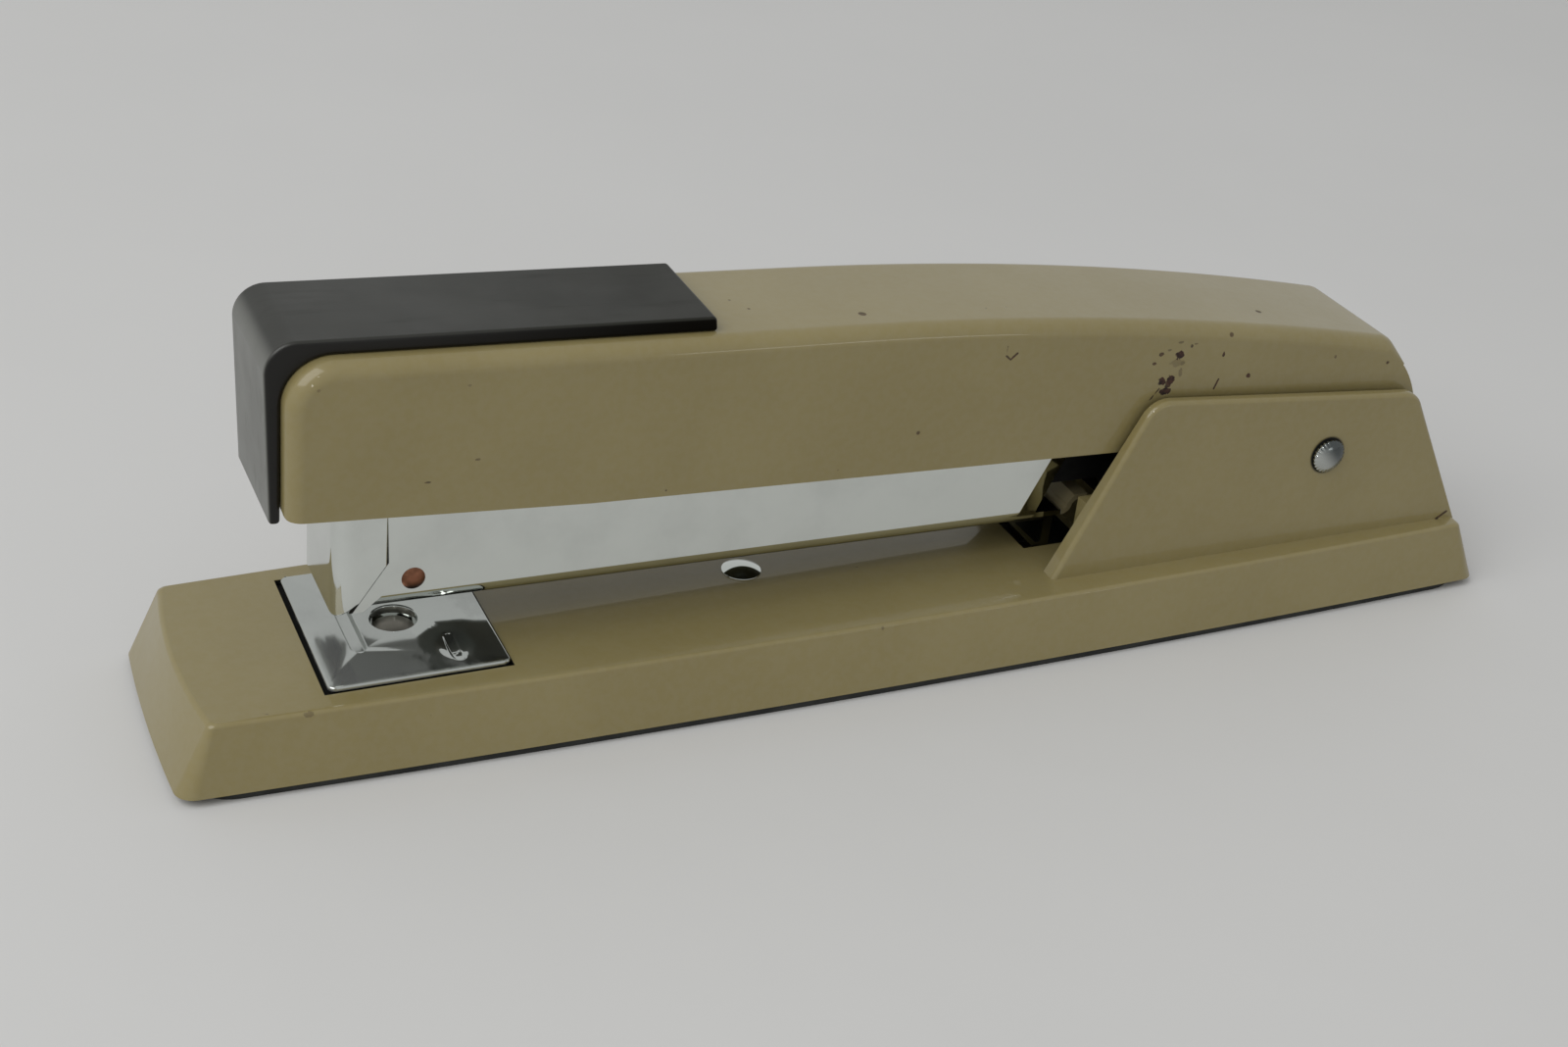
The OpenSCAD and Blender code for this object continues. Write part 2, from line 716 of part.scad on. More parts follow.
// The outside of the cover, or with an inset its hollow, which carries on down past the open side
module cover_form(inset) {
    low = inset > 0 ? cover_low_z - 8 : cover_low_z;
    front_low = low + cover_front_rise + cover_foot_r;
    front_top = cover_front_top_x + cover_nose_r;
    normal = [sin(flap_angle), cos(flap_angle)];
    along_flap = [normal[1], -normal[0]];
    open_end = [flap[1][0] + 2 * along_flap[0], flap[1][1] + 2 * along_flap[1], 0];
    flap_run = inset > 0 ? concat(flap, [open_end]) : flap;
    foot_r = max(cover_foot_r - inset, hollow_foot_r);
    hw = cover_hw(cover_front_low_x) - inset;
    hull() {
        puck(front_top, cover_top_z - cover_nose_r, cover_nose_r - inset, hw, cover_edge_r - inset);
        puck(cover_front_low_x + inset + foot_r, front_low, foot_r, hw, cover_edge_r - inset);
        cover_slice(front_top, cover_top_z - inset, inset, front_low);
        cover_slice(cover_rise_x, cover_top_z - inset, inset, low);
        for (i = [0:sweep_steps])
            let (x = cover_flat_end_x + (cover_rear_x - inset / 2 - cover_flat_end_x) * i / sweep_steps)
                cover_slice(x, cover_top(x) - inset, inset, low);
        for (p = flap_run)
            cover_slice(p[0] - inset * normal[0], p[1] - inset * normal[1], inset, low, p[2]);
    }
}

module cover_cheek() {
    inner = cover_w_rear / 2 - cover_t;
    c = [pivot_x, pivot_z];
    across(inner, inner + cover_t) polygon(concat(
        [[cheek_front_x, cover_low_z + 2], [cheek_front_x, cover_low_z]],
        arc(c, cheek_low_r, 235, 300, 8),
        arc(c, cheek_r, 0, cheek_end_angle, 10),
        [[cover_rear_x - 8, cover_low_z + 6]]));
}

module cover_shell() {
    color(paint) tilted(cover_tilt) difference() {
        union() {
            difference() {
                cover_form(0);
                cover_form(cover_t);
            }
            both_sides() cover_cheek();
        }
        y_bar(pivot_x, pivot_z, pin_r + run_fit, -cover_w, cover_w);
        for (x = strip_rivets) translate([x, 0, pivot_z]) cylinder(r = rivet_r, h = cover_top_z);
        for (x = cap_stud_xs) translate([x, 0, pivot_z]) cylinder(r = cap_stud_r + run_fit, h = cover_top_z);
    }
}

// The cap lies on the cover's top and folds down over its front
module cap() {
    hw = cap_w / 2;
    top = cover_top_z + cap_t;
    color(dark) tilted(cover_tilt) {
        difference() {
            hull() {
                puck(cap_front_top_x + cap_nose_r, top - cap_nose_r, cap_nose_r, hw, cap_edge_r);
                puck(cap_front_low_x + cap_edge_r, cap_low_z + cap_edge_r, cap_edge_r, hw, cap_edge_r);
                puck(-cap_rear_x - cap_edge_r, top - cap_edge_r, cap_edge_r, hw, cap_edge_r);
                puck(-cap_rear_x - cap_edge_r, cover_top_z, cap_edge_r, hw, cap_edge_r);
            }
            cover_form(0);
            box([cover_front_low_x, -cap_w, 0], [0, cap_w, cover_low_z + cover_front_rise + cover_foot_r]);
        }
        for (x = cap_stud_xs) translate([x, 0, cover_top_z - cover_t - 2 * cap_clip_t])
            cylinder(r = cap_stud_r, h = cap_t + cover_t);
    }
}

// Push-on rings under the cover's top that hold the cap's studs
module cap_clips() {
    color(steel) tilted(cover_tilt) for (x = cap_stud_xs)
        translate([x, 0, cover_top_z - cover_t - cap_clip_t]) difference() {
            cylinder(r = cap_clip_r, h = cap_clip_t);
            translate([0, 0, -1]) cylinder(r = cap_stud_r, h = cap_clip_t + 2);
        }
}

module driver_blade() {
    top = cover_top_z - cover_t - strip_t;
    color(steel) tilted(cover_tilt)
        box([blade_x - blade_t / 2, -blade_hw, blade_low_z], [blade_x + blade_t / 2, blade_hw, top]);
}

// A spring-steel strip under the cover's top that carries the blade
module driver_spring() {
    top = cover_top_z - cover_t;
    color(steel) tilted(cover_tilt) difference() {
        box([blade_x - 2 * blade_t, -strip_hw, top - strip_t], [strip_rear_x, strip_hw, top]);
        for (x = strip_rivets) translate([x, 0, 0]) cylinder(r = rivet_r, h = cover_top_z);
        for (x = cap_stud_xs) translate([x, 0, 0]) cylinder(r = cap_clip_r + 0.2, h = cover_top_z);
    }
}

module driver_rivets() {
    low = cover_top_z - cover_t - strip_t;
    color(steel) tilted(cover_tilt) for (x = strip_rivets) translate([x, 0, low]) {
        cylinder(r = rivet_r, h = cover_t + strip_t - 0.05);
        mirror([0, 0, 1]) dome(rivet_head_r, rivet_head_h);
    }
}

base_shell();
rubber_foot();
base_leaf_spring();
base_rivet();
hinge_pin();
ear_washers();
hinge_spacers();
anvil_plate();
anvil_button();
anvil_spring();
magazine_channel();
nose_plate();
staple_rail();
magazine_arms();
magazine_rivets();
magazine_lug();
lug_rivet();
pusher_rod();
staple_pusher();
pusher_spring();
cover_shell();
cap();
cap_clips();
driver_blade();
driver_spring();
driver_rivets();
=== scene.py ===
import bpy
import bmesh
import json
from math import asin, atan2, copysign, cos, degrees, hypot, pi, radians, sin, sqrt
from mathutils import Matrix, Quaternion, Vector
from mathutils.geometry import delaunay_2d_cdt

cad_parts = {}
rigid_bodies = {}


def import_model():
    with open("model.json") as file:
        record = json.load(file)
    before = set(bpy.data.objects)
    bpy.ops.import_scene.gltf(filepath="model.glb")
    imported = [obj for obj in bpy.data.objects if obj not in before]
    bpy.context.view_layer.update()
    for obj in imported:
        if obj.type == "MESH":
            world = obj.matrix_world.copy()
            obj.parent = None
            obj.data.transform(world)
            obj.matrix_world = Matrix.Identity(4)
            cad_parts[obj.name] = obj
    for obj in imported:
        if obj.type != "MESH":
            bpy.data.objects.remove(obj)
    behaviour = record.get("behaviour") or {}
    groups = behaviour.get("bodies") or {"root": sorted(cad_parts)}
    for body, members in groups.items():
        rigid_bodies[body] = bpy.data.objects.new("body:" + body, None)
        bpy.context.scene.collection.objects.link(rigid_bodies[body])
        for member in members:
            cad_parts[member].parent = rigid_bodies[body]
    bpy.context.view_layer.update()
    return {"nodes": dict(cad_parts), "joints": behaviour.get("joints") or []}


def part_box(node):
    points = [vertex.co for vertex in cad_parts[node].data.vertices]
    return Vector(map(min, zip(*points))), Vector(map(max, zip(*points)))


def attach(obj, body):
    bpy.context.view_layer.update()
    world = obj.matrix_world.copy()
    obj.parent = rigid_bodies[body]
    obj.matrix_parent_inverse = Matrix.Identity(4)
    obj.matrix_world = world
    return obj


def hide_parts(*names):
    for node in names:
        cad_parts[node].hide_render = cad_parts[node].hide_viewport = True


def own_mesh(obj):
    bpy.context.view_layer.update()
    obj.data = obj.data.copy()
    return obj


for leftover in list(bpy.data.objects):
    bpy.data.objects.remove(leftover)

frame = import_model()
scene = bpy.context.scene
mm = 0.001
cutterRun = 5.0  # how far a cutter reaches past what it cuts
joints = {j["name"]: j for j in frame["joints"]}
pin = Vector(joints["cover_hinge"]["pos_m"]) / mm  # the hinge pin, in mm
print("stapler: frame loaded,", len(frame["nodes"]), "CAD nodes")


def boxMm(node):
    low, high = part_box(node)
    return low / mm, high / mm


# mesh helpers: points are in mm, and a piece is scaled to metres when it is made

def addObject(name, data):
    thing = bpy.data.objects.new(name, data)
    scene.collection.objects.link(thing)
    return thing


def editMesh(mesh, change):
    form = bmesh.new()
    form.from_mesh(mesh)
    change(form)
    form.to_mesh(mesh)
    form.free()


def makePiece(name, points, faces, closed=True):
    def joinPoints(form):
        bmesh.ops.remove_doubles(form, verts=form.verts, dist=1e-7)
        if closed:
            bmesh.ops.recalc_face_normals(form, faces=form.faces)

    mesh = bpy.data.meshes.new(name)
    mesh.from_pydata([Vector(p) * mm for p in points], [], faces)
    editMesh(mesh, joinPoints)
    return addObject(name, mesh)


def addStep(piece, kind, **settings):
    step = piece.modifiers.new(kind, kind)
    for name, value in settings.items():
        setattr(step, name, value)


def bake(piece):
    # applies the modifiers so far
    graph = bpy.context.evaluated_depsgraph_get()
    graph.update()
    old = piece.data
    piece.data = bpy.data.meshes.new_from_object(piece.evaluated_get(graph))
    piece.modifiers.clear()
    piece.data.name = piece.name
    bpy.data.meshes.remove(old)


def combine(piece, others, operation):
    for other in others:
        addStep(piece, "BOOLEAN", operation=operation, solver="EXACT", object=other)
        bake(piece)
        bpy.data.objects.remove(other)
    return piece


def cutAway(piece, *others):
    return combine(piece, others, "DIFFERENCE")


def weldOn(piece, *others):
    return combine(piece, others, "UNION")


def gridFaces(rows, span):
    # the faces between rows of equal length
    count = len(rows[0])
    return [(i + k, i + (k + 1) % count, i + count + (k + 1) % count, i + count + k)
            for i in range(0, (len(rows) - 1) * count, count) for k in range(span)]


def loft(name, rings, solid=True):
    # rings joined one to the next; an open sheet has no ends and no seam
    count = len(rings[0])
    faces = gridFaces(rings, count if solid else count - 1)
    points = [p for ring in rings for p in ring]
    if solid:
        faces += [tuple(range(count)), tuple(range(len(points) - count, len(points)))]
    return makePiece(name, points, faces, solid)


def lathe(name, profile, steps=64, notch=None):
    # profile: (radius, height) pairs from axis to axis, turned about Z
    turns = [2 * pi * k / steps for k in range(steps)]
    rings = []
    for r, z in profile:
        radii = [r * notch(a, r) if notch else r for a in turns]
        rings.append([(radius * cos(a), radius * sin(a), z) for radius, a in zip(radii, turns)])
    return loft(name, rings)


def around(x, y, radius, turns, radiusY=None):
    # points round a centre, at these angles
    return [(x + radius * cos(a), y + (radiusY or radius) * sin(a)) for a in turns]


def circle(radius, x=0.0, y=0.0, steps=64, radiusY=None):
    return around(x, y, radius, [2 * pi * k / steps for k in range(steps)], radiusY)


def arcPoints(x, y, radius, a0, a1, n):
    return around(x, y, radius, [radians(a0 + (a1 - a0) * i / n) for i in range(n + 1)])


def quarterTurn(steps):
    return [pi / 2 * i / steps for i in range(steps + 1)]


def roundOver(radius, steps):
    # a rounded edge's rings: how far each lies inward, and how far down
    return [(radius * (1 - cos(a)), radius * (1 - sin(a))) for a in quarterTurn(steps)]


def extrudeOutline(name, outline, y0, y1):
    # an XZ outline across the width
    return loft(name, [[(x, y, z) for x, z in outline] for y in (y0, y1)])


def atHeight(outline, z):
    return [(x, y, z) for x, y in outline]


def block(name, low, high):
    corners = [(low[0], low[1]), (high[0], low[1]), (high[0], high[1]), (low[0], high[1])]
    return loft(name, [atHeight(corners, low[2]), atHeight(corners, high[2])])


def rod(name, x, radius, z0, z1, steps=64):
    # upright, on the middle plane
    outline = circle(radius, x, 0.0, steps)
    return loft(name, [atHeight(outline, z0), atHeight(outline, z1)])


def pinRod(name, radius, reach):
    # along the hinge pin, to both sides
    return extrudeOutline(name, circle(radius, pin.x, pin.z), -reach, reach)


def place(piece, matrix):
    piece.data.transform(matrix)
    return piece


def moved(x, y, z):
    return Matrix.Translation((x * mm, y * mm, z * mm))


def turned(angle, axis):
    return Matrix.Rotation(radians(angle), 4, axis)


def tiltNoseUp(piece, angle):
    # a level part, turned about the hinge pin
    centre = Matrix.Translation(pin * mm)
    place(piece, centre @ turned(angle, "Y") @ centre.inverted())


def softShade(piece, sharpAngle):
    mesh = piece.data
    mesh.polygons.foreach_set("use_smooth", [True] * len(mesh.polygons))
    mesh.set_sharp_from_angle(angle=radians(sharpAngle))


def roundEdges(piece, width, segments, angle):
    # small bevels on the edges sharper than an angle
    addStep(piece, "BEVEL", width=width * mm, segments=segments, limit_method="ANGLE",
            angle_limit=radians(angle), use_clamp_overlap=True)


def evenShading(piece, sharpAngle, edge=None, angle=40):
    # soft shading for a sheet part, with bevelled edges where a width is given
    softShade(piece, sharpAngle)
    if edge:
        roundEdges(piece, edge, 2, angle)
    addStep(piece, "WEIGHTED_NORMAL", mode="FACE_AREA", keep_sharp=True)


def thicken(piece, sheet):
    # gives an open surface its sheet thickness, on the inside
    def faceOutward(form):
        bmesh.ops.recalc_face_normals(form, faces=form.faces)
        middle = sum((v.co for v in form.verts), Vector()) / len(form.verts)
        if sum(f.calc_area() * f.normal.dot(f.calc_center_median() - middle) for f in form.faces) < 0:
            bmesh.ops.reverse_faces(form, faces=form.faces)

    editMesh(piece.data, faceOutward)
    addStep(piece, "SOLIDIFY", thickness=sheet * mm, offset=-1, use_even_offset=True, use_quality_normals=True)
    bake(piece)


def paint(piece, material):
    piece.data.materials.clear()
    piece.data.materials.append(material)


def finishPiece(piece, body, material, node):
    paint(piece, material)
    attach(piece, body)
    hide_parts(node)


# shader helpers

class Shader:
    # a material's node tree with short calls for the nodes it is built from
    def __init__(self, name):
        self.material = bpy.data.materials.new(name)
        self.material.use_nodes = True
        self.tree = self.material.node_tree
        self.surface = self.tree.nodes["Principled BSDF"]
        coordinates = self.tree.nodes.new("ShaderNodeTexCoord").outputs
        self.place, self.normal = coordinates["Object"], coordinates["Normal"]

    def link(self, source, target):
        # a socket, a value or a colour
        if hasattr(source, "is_output"):
            self.tree.links.new(source, target)
        else:
            target.default_value = (*source, 1.0) if target.type == "RGBA" else source

    def node(self, kind, operation=None, **values):
        node = self.tree.nodes.new("ShaderNode" + kind)
        if operation:
            node.operation = operation
        for name, value in values.items():
            self.link(value, node.inputs[name])
        return node

    def noise(self, scale, detail=3.0, rough=0.55, stretch=None):
        vector = self.place
        if stretch:
            vector = self.node("Mapping", Scale=stretch, Vector=vector).outputs["Vector"]
        return self.node("TexNoise", Scale=scale, Detail=detail, Roughness=rough, Vector=vector).outputs["Fac"]

    def voronoi(self, scale):
        return self.node("TexVoronoi", Scale=scale, Vector=self.place).outputs["Distance"]

    def ramp(self, value, low, high, dark=0.0, light=1.0):
        node = self.node("MapRange", **{"Value": value, "From Min": low, "From Max": high,
                                        "To Min": dark, "To Max": light})
        node.interpolation_type = "SMOOTHSTEP"
        return node.outputs["Result"]

    def patches(self, scale, detail=4, low=0.35, high=0.7, dark=0.0, light=1.0):
        return self.ramp(self.noise(scale, detail), low, high, dark, light)

    def math(self, operation, a, b=0.5):
        node = self.node("Math", operation)
        self.link(a, node.inputs[0])
        self.link(b, node.inputs[1])
        return node.outputs[0]

    def times(self, a, b):
        return self.math("MULTIPLY", a, b)

    def plus(self, a, b):
        return self.math("ADD", a, b)

    def minus(self, a, b):
        return self.math("SUBTRACT", a, b)

    def most(self, a, b):
        return self.math("MAXIMUM", a, b)

    def mix(self, share, a, b):
        node = self.node("Mix")
        node.data_type = "RGBA"
        for name, value in (("Factor", share), ("A", a), ("B", b)):
            self.link(value, node.inputs[name])
        return node.outputs["Result"]

    def bump(self, height, strength, distance, under=None):
        node = self.node("Bump", Height=height, Strength=strength, Distance=distance)
        if under is not None:
            self.link(under, node.inputs["Normal"])
        return node.outputs["Normal"]

    def spot(self, centre, size, ragged):
        # 1 inside a ragged spot round a point, 0 outside, in mm
        away = self.share(centre, size)
        return self.ramp(self.plus(self.vector("LENGTH", away), ragged), 1.08, 0.92)

    def share(self, centre, half, change=None):
        # how far a point lies from a centre, in half sizes
        away = self.vector("SUBTRACT", self.place, [c * mm for c in centre])
        return self.vector("DIVIDE", self.vector(change, away) if change else away, [h * mm for h in half])

    def vector(self, operation, a, b=None):
        node = self.node("VectorMath", operation)
        for value, socket in zip((a, b), node.inputs):
            if value is not None:
                self.link(value, socket)
        return node.outputs["Value" if operation in ("LENGTH", "DOT_PRODUCT") else "Vector"]

    def axis(self, vector, letter):
        return self.node("SeparateXYZ", Vector=vector).outputs[letter]

    def within(self, centre, half, soft=0.03):
        # 1 inside a box, in mm
        away = self.share(centre, half, "ABSOLUTE")
        x, y, z = [self.axis(away, letter) for letter in "XYZ"]
        return self.ramp(self.most(self.most(x, y), z), 1.0 + soft, 1.0 - soft)

    def stroke(self, a, b, width, ragged=0.0):
        # 1 along a straight scratch from a to b, in mm
        start, run = Vector(a) * mm, (Vector(b) - Vector(a)) * mm
        away = self.vector("SUBTRACT", self.place, start)
        share = self.vector("DOT_PRODUCT", away, run / run.length_squared)
        inside = self.node("Clamp", Value=share).outputs[0]
        along = self.node("VectorMath", "SCALE", Vector=run, Scale=inside).outputs["Vector"]
        beside = self.vector("SUBTRACT", away, along)
        edge = self.plus(self.vector("LENGTH", beside), ragged)
        return self.ramp(edge, 0.6 * width * mm, 0.4 * width * mm)

    def facing(self, letter, low, high):
        # a mask from how the surface faces along one axis of the piece
        return self.ramp(self.axis(self.normal, letter), low, high)

    def finish(self, **sockets):
        names = {"colour": "Base Color", "roughness": "Roughness", "metallic": "Metallic", "normal": "Normal",
                 "specular": "Specular IOR Level", "coat": "Coat Weight", "coatRoughness": "Coat Roughness"}
        for name, value in sockets.items():
            self.link(value, self.surface.inputs[names[name]])
        return self.material


# enamel, chrome, steel and the other finishes

enamelLook = {
    "colour": (0.229, 0.187, 0.076), "faded": (0.247, 0.204, 0.087), "worn": (0.29, 0.27, 0.19),
    "bare": (0.026, 0.016, 0.013), "rust": (0.065, 0.032, 0.022), "roughness": 0.34, "coat": 0.6,
    "coatRoughness": 0.03,
}


def enamel(name, chips=(), scratches=(), gapShade=None):
    s, look = Shader(name), enamelLook
    colour = s.mix(s.patches(38), look["colour"], look["faded"])
    colour = s.mix(s.times(s.patches(900, 2, 0.3, 0.7), 0.10), colour, look["worn"])
    normal = s.bump(s.noise(620, 1.5, 0.4), 0.10, 0.00012)
    normal = s.bump(s.noise(95, 1.0, 0.3), 0.10, 0.0004, normal)
    ragged = s.times(s.minus(s.noise(1300, 4, 0.65), 0.5), 2.2)
    dust = s.ramp(s.plus(s.voronoi(150), s.times(s.noise(25, 2), 0.5)), 0.285, 0.265)
    hole = s.times(dust, 0.75)
    marks = [(s.spot(centre, size, ragged), depth) for centre, size, depth in chips]
    marks += [(s.stroke(a, b, width, s.times(ragged, 0.08 * mm)), depth) for a, b, width, depth in scratches]
    for mark, depth in marks:
        hole = s.most(hole, s.times(mark, depth))
    colour = s.mix(hole, colour, s.mix(s.patches(1700, 3, 0.35, 0.65), look["bare"], look["rust"]))
    normal = s.bump(s.minus(1.0, hole), 0.5, 0.00010, normal)
    rough = s.patches(60, 3, 0.3, 0.7, look["roughness"] - 0.03, look["roughness"] + 0.05)
    rough = s.most(rough, s.times(hole, 0.75))
    if gapShade:
        dirtAndShade = gapShade(s)
        # painted shade: the enamel is near black where the gap mask lies
        colour = s.mix(dirtAndShade, colour, (0.006, 0.006, 0.005))
        rough = s.most(rough, s.times(dirtAndShade, 0.8))
        hole = s.most(hole, dirtAndShade)
    coat = s.minus(look["coat"], s.times(hole, look["coat"]))
    return s.finish(colour=colour, roughness=rough, normal=normal, specular=0.25, coat=coat,
                    coatRoughness=look["coatRoughness"])


# where the painted gap shade lies: the groove round the anvil plate and a ring round the pin
anvilGapShade = {"centre": (-66.8, 0, 5.3), "half": (12.35, 13.95, 5.2), "pinRing": (2.9, 90.0, 2.9)}


def baseGapShade(s):
    # near-black painted shade in the groove round the anvil plate and round the pin's heads
    groove = s.within(anvilGapShade["centre"], anvilGapShade["half"], 0.01)
    return s.most(groove, s.spot(pin, anvilGapShade["pinRing"], 0.0))


def capBlack():
    s = Shader("capPlastic")
    colour = s.mix(s.patches(120, 4, 0.3, 0.7), (0.011, 0.011, 0.0075), (0.015, 0.015, 0.0105))
    # painted reflection: the front face is lighter, standing in for the bright room it reflects
    colour = s.mix(s.facing("X", -0.6, -0.95), colour, (0.115, 0.117, 0.105))
    # painted shade: the sides are nearly black, standing in for the dark surroundings they reflect
    side = s.ramp(s.math("ABSOLUTE", s.axis(s.normal, "Y")), 0.7, 0.95)
    colour = s.mix(side, colour, (0.004, 0.0035, 0.0025))
    scuff = s.ramp(s.noise(260, 3, 0.6, stretch=(0.25, 1.6, 1.0)), 0.52, 0.72)
    normal = s.bump(s.noise(2400, 2), 0.14, 0.00004)
    normal = s.bump(s.noise(120, 1), 0.06, 0.0003, normal)
    rough = s.plus(s.patches(90, 3, 0.3, 0.7, 0.34, 0.42), s.times(scuff, 0.06))
    specular = s.minus(s.ramp(s.axis(s.place, "X"), -0.075, -0.03, 0.55, 0.22), s.times(side, 0.2))
    return s.finish(colour=colour, roughness=rough, normal=normal, specular=specular)


def chrome(name, smudge=0.5, lightAndShadeTone=1.0, marks=None):
    s = Shader(name)
    haze = s.ramp(s.noise(70, 5, 0.6), 0.4, 0.75)
    # the tone paints light or shade into the chrome's colour: below 1 it darkens a part's reflections
    clear, dull = [tuple(lightAndShadeTone * c for c in shade) for shade in ((0.66, 0.685, 0.655), (0.59, 0.61, 0.585))]
    colour = s.mix(haze, clear, dull)
    pits = s.ramp(s.plus(s.voronoi(210), s.times(s.noise(60, 2), 0.45)), 0.215, 0.2)
    colour = s.mix(s.times(pits, 0.7), colour, (0.10, 0.10, 0.10))
    wave = s.bump(s.noise(45, 1.0, 0.3), 0.08, 0.0006)
    normal = s.bump(s.noise(500, 2, 0.5, stretch=(0.05, 1.0, 1.0)), 0.02, 0.00004, wave)
    rough = s.plus(s.ramp(haze, 0.0, 1.0, 0.05, 0.05 + 0.12 * smudge), s.times(pits, 0.4))
    metal = 1.0
    if marks:
        colour, rough, metal = marks(s, colour, rough)
    return s.finish(colour=colour, roughness=rough, metallic=metal, normal=normal)


def anvilHaze(s, colour, rough):
    # years of staples leave a dull, uneven film
    film = s.ramp(s.noise(75, 6, 0.65, stretch=(1.0, 0.6, 1.0)), 0.42, 0.56)
    return colour, s.plus(rough, s.times(film, 0.06)), s.ramp(film, 0.0, 1.0, 0.97, 0.78)


def magazineMarks(s, colour, rough):
    # the underside is dull and painted darker, a painted shade standing in for a dark reflection; dirt and
    # painted shade lie along the nose plate's rear edges, and the turned-up tail is painted tan, a painted
    # reflection of the enamel
    under = s.facing("Z", -0.55, -0.9)
    colour = s.mix(under, colour, (0.12, 0.125, 0.11))
    dirtAndShade = 0.0
    for a, b in seams["lines"]:
        for y in (-seams["side"], seams["side"]):
            dirtAndShade = s.most(s.stroke((a[0], y, a[1]), (b[0], y, b[1]), seams["width"]), dirtAndShade)
    # dirt and painted shade, near black, along the seams
    colour = s.mix(dirtAndShade, colour, (0.02, 0.02, 0.018))
    # painted reflection: the tail's chrome is painted a dull tan, standing in for the enamel it reflects
    tail = s.within(*tailPaintedTan)
    colour = s.mix(tail, colour, (0.26, 0.22, 0.12))
    rough = s.most(rough, s.times(s.most(under, s.most(dirtAndShade, tail)), 0.35))
    return colour, rough, s.minus(1.0, s.times(tail, 0.8))


def pinShade(s, colour, rough):
    # painted shade: the heads are darkened towards the top and the rear, standing in for a dark reflection
    towards = s.plus(s.axis(s.normal, "X"), s.axis(s.normal, "Z"))
    return s.mix(s.ramp(towards, -0.45, 0.35), colour, (0.10, 0.11, 0.11)), s.plus(rough, 0.1), 1.0


# the nose plate's rear edges in the tilted magazine, where dirt and painted shade lie: (x, z) in mm
seams = {"lines": [((-69.75, 31.4), (-69.62, 24.15)), ((-69.62, 24.15), (-74.55, 17.1))],
         "side": 7.33, "width": 0.55}
tailPaintedTan = ((31.0, 0, 17.2), (2.6, 6.0, 2.2))  # middle and half size of the turned-up tail, whose chrome is painted tan as a painted reflection of the enamel


def plainSteel(name, colour, roughness, along=(0.04, 1.0, 1.0)):
    s = Shader(name)
    brushed = s.noise(900, 3, 0.6, stretch=along)
    stain = s.patches(90, 4, 0.4, 0.75)
    tint = s.mix(stain, colour, tuple(0.72 * c for c in colour))
    normal = s.bump(brushed, 0.12, 0.00005)
    rough = s.plus(s.ramp(brushed, 0.2, 0.8, roughness - 0.08, roughness + 0.08), s.times(stain, 0.1))
    return s.finish(colour=tint, roughness=rough, metallic=1.0, normal=normal)


def mattDark(name, shades, scale, grain, bump, rough, specular=0.5):
    s = Shader(name)
    colour = s.mix(s.patches(scale), *shades)
    normal = s.bump(s.noise(grain, 3), *bump)
    return s.finish(colour=colour, roughness=s.patches(*rough), normal=normal, specular=specular)


def copper():
    s = Shader("copperRivet")
    tarnish = s.patches(600)
    colour = s.mix(tarnish, (0.25, 0.11, 0.065), (0.13, 0.06, 0.035))
    # painted shade: the heads are darker where they face down
    colour = s.mix(s.ramp(s.axis(s.normal, "Z"), -0.15, -0.6), colour, (0.02, 0.01, 0.008))
    normal = s.bump(s.noise(1500, 3), 0.10, 0.00006)
    return s.finish(colour=colour, roughness=s.ramp(tarnish, 0.0, 1.0, 0.32, 0.42), metallic=1.0, normal=normal)


# wear on the cover, in mm from the pin: the chips' place across and half size across, then for each chip
# its place along and up, its half sizes and its depth
coverChips = [
    (-10.6, 1.5, (-29.4, 13.9, 0.65, 0.6, 1.0)),
    (-10.6, 1.0, (-28.0, 14.0, 0.6, 0.8, 1.0), (-28.5, 12.3, 0.85, 0.6, 1.0), (-28.3, 13.1, 0.5, 0.6, 0.95),
     (-27.2, 17.7, 0.64, 0.68, 1.0), (-30.3, 18.1, 0.4, 0.26, 0.85), (-31.2, 16.8, 0.33, 0.22, 0.85),
     (-29.1, 18.6, 0.3, 0.15, 0.5), (-25.5, 18.8, 0.22, 0.24, 0.8), (-24.9, 19.1, 0.32, 0.12, 0.5),
     (-27.5, 19.6, 0.4, 0.16, 0.5), (-27.5, 16.5, 1.0, 0.6, 0.3), (-26.5, 16.3, 0.4, 0.3, 0.45),
     (-26.6, 14.9, 0.3, 0.6, 0.4), (-19.9, 16.9, 0.24, 0.36, 0.95), (-14.9, 13.1, 0.34, 0.36, 0.95)),
    (-10.5, 1.0, (-0.2, 14.4, 0.18, 0.3, 0.6)),
    (-10.3, 1.0, (9.6, 12.3, 0.24, 0.22, 0.85)),
    (-11.3, 1.0, (-132.6, 12.7, 0.42, 0.14, 0.7), (-126.5, 15.0, 0.32, 0.14, 0.55),
     (-127.8, 25.0, 0.3, 0.2, 0.3)),
    (-11.0, 1.0, (-145.5, 26.4, 0.25, 0.2, 0.35)),
    (-10.6, 1.0, (-34.9, 3.1, 0.9, 0.35, 0.75)),
    (10.6, 1.0, (-20.6, 12.4, 0.6, 0.5, 0.8)),
    (10.9, 1.0, (-72.0, 8.0, 0.5, 0.8, 0.7)),
    (10.4, 1.0, (-3.0, 16.4, 0.8, 0.5, 0.8)),
]
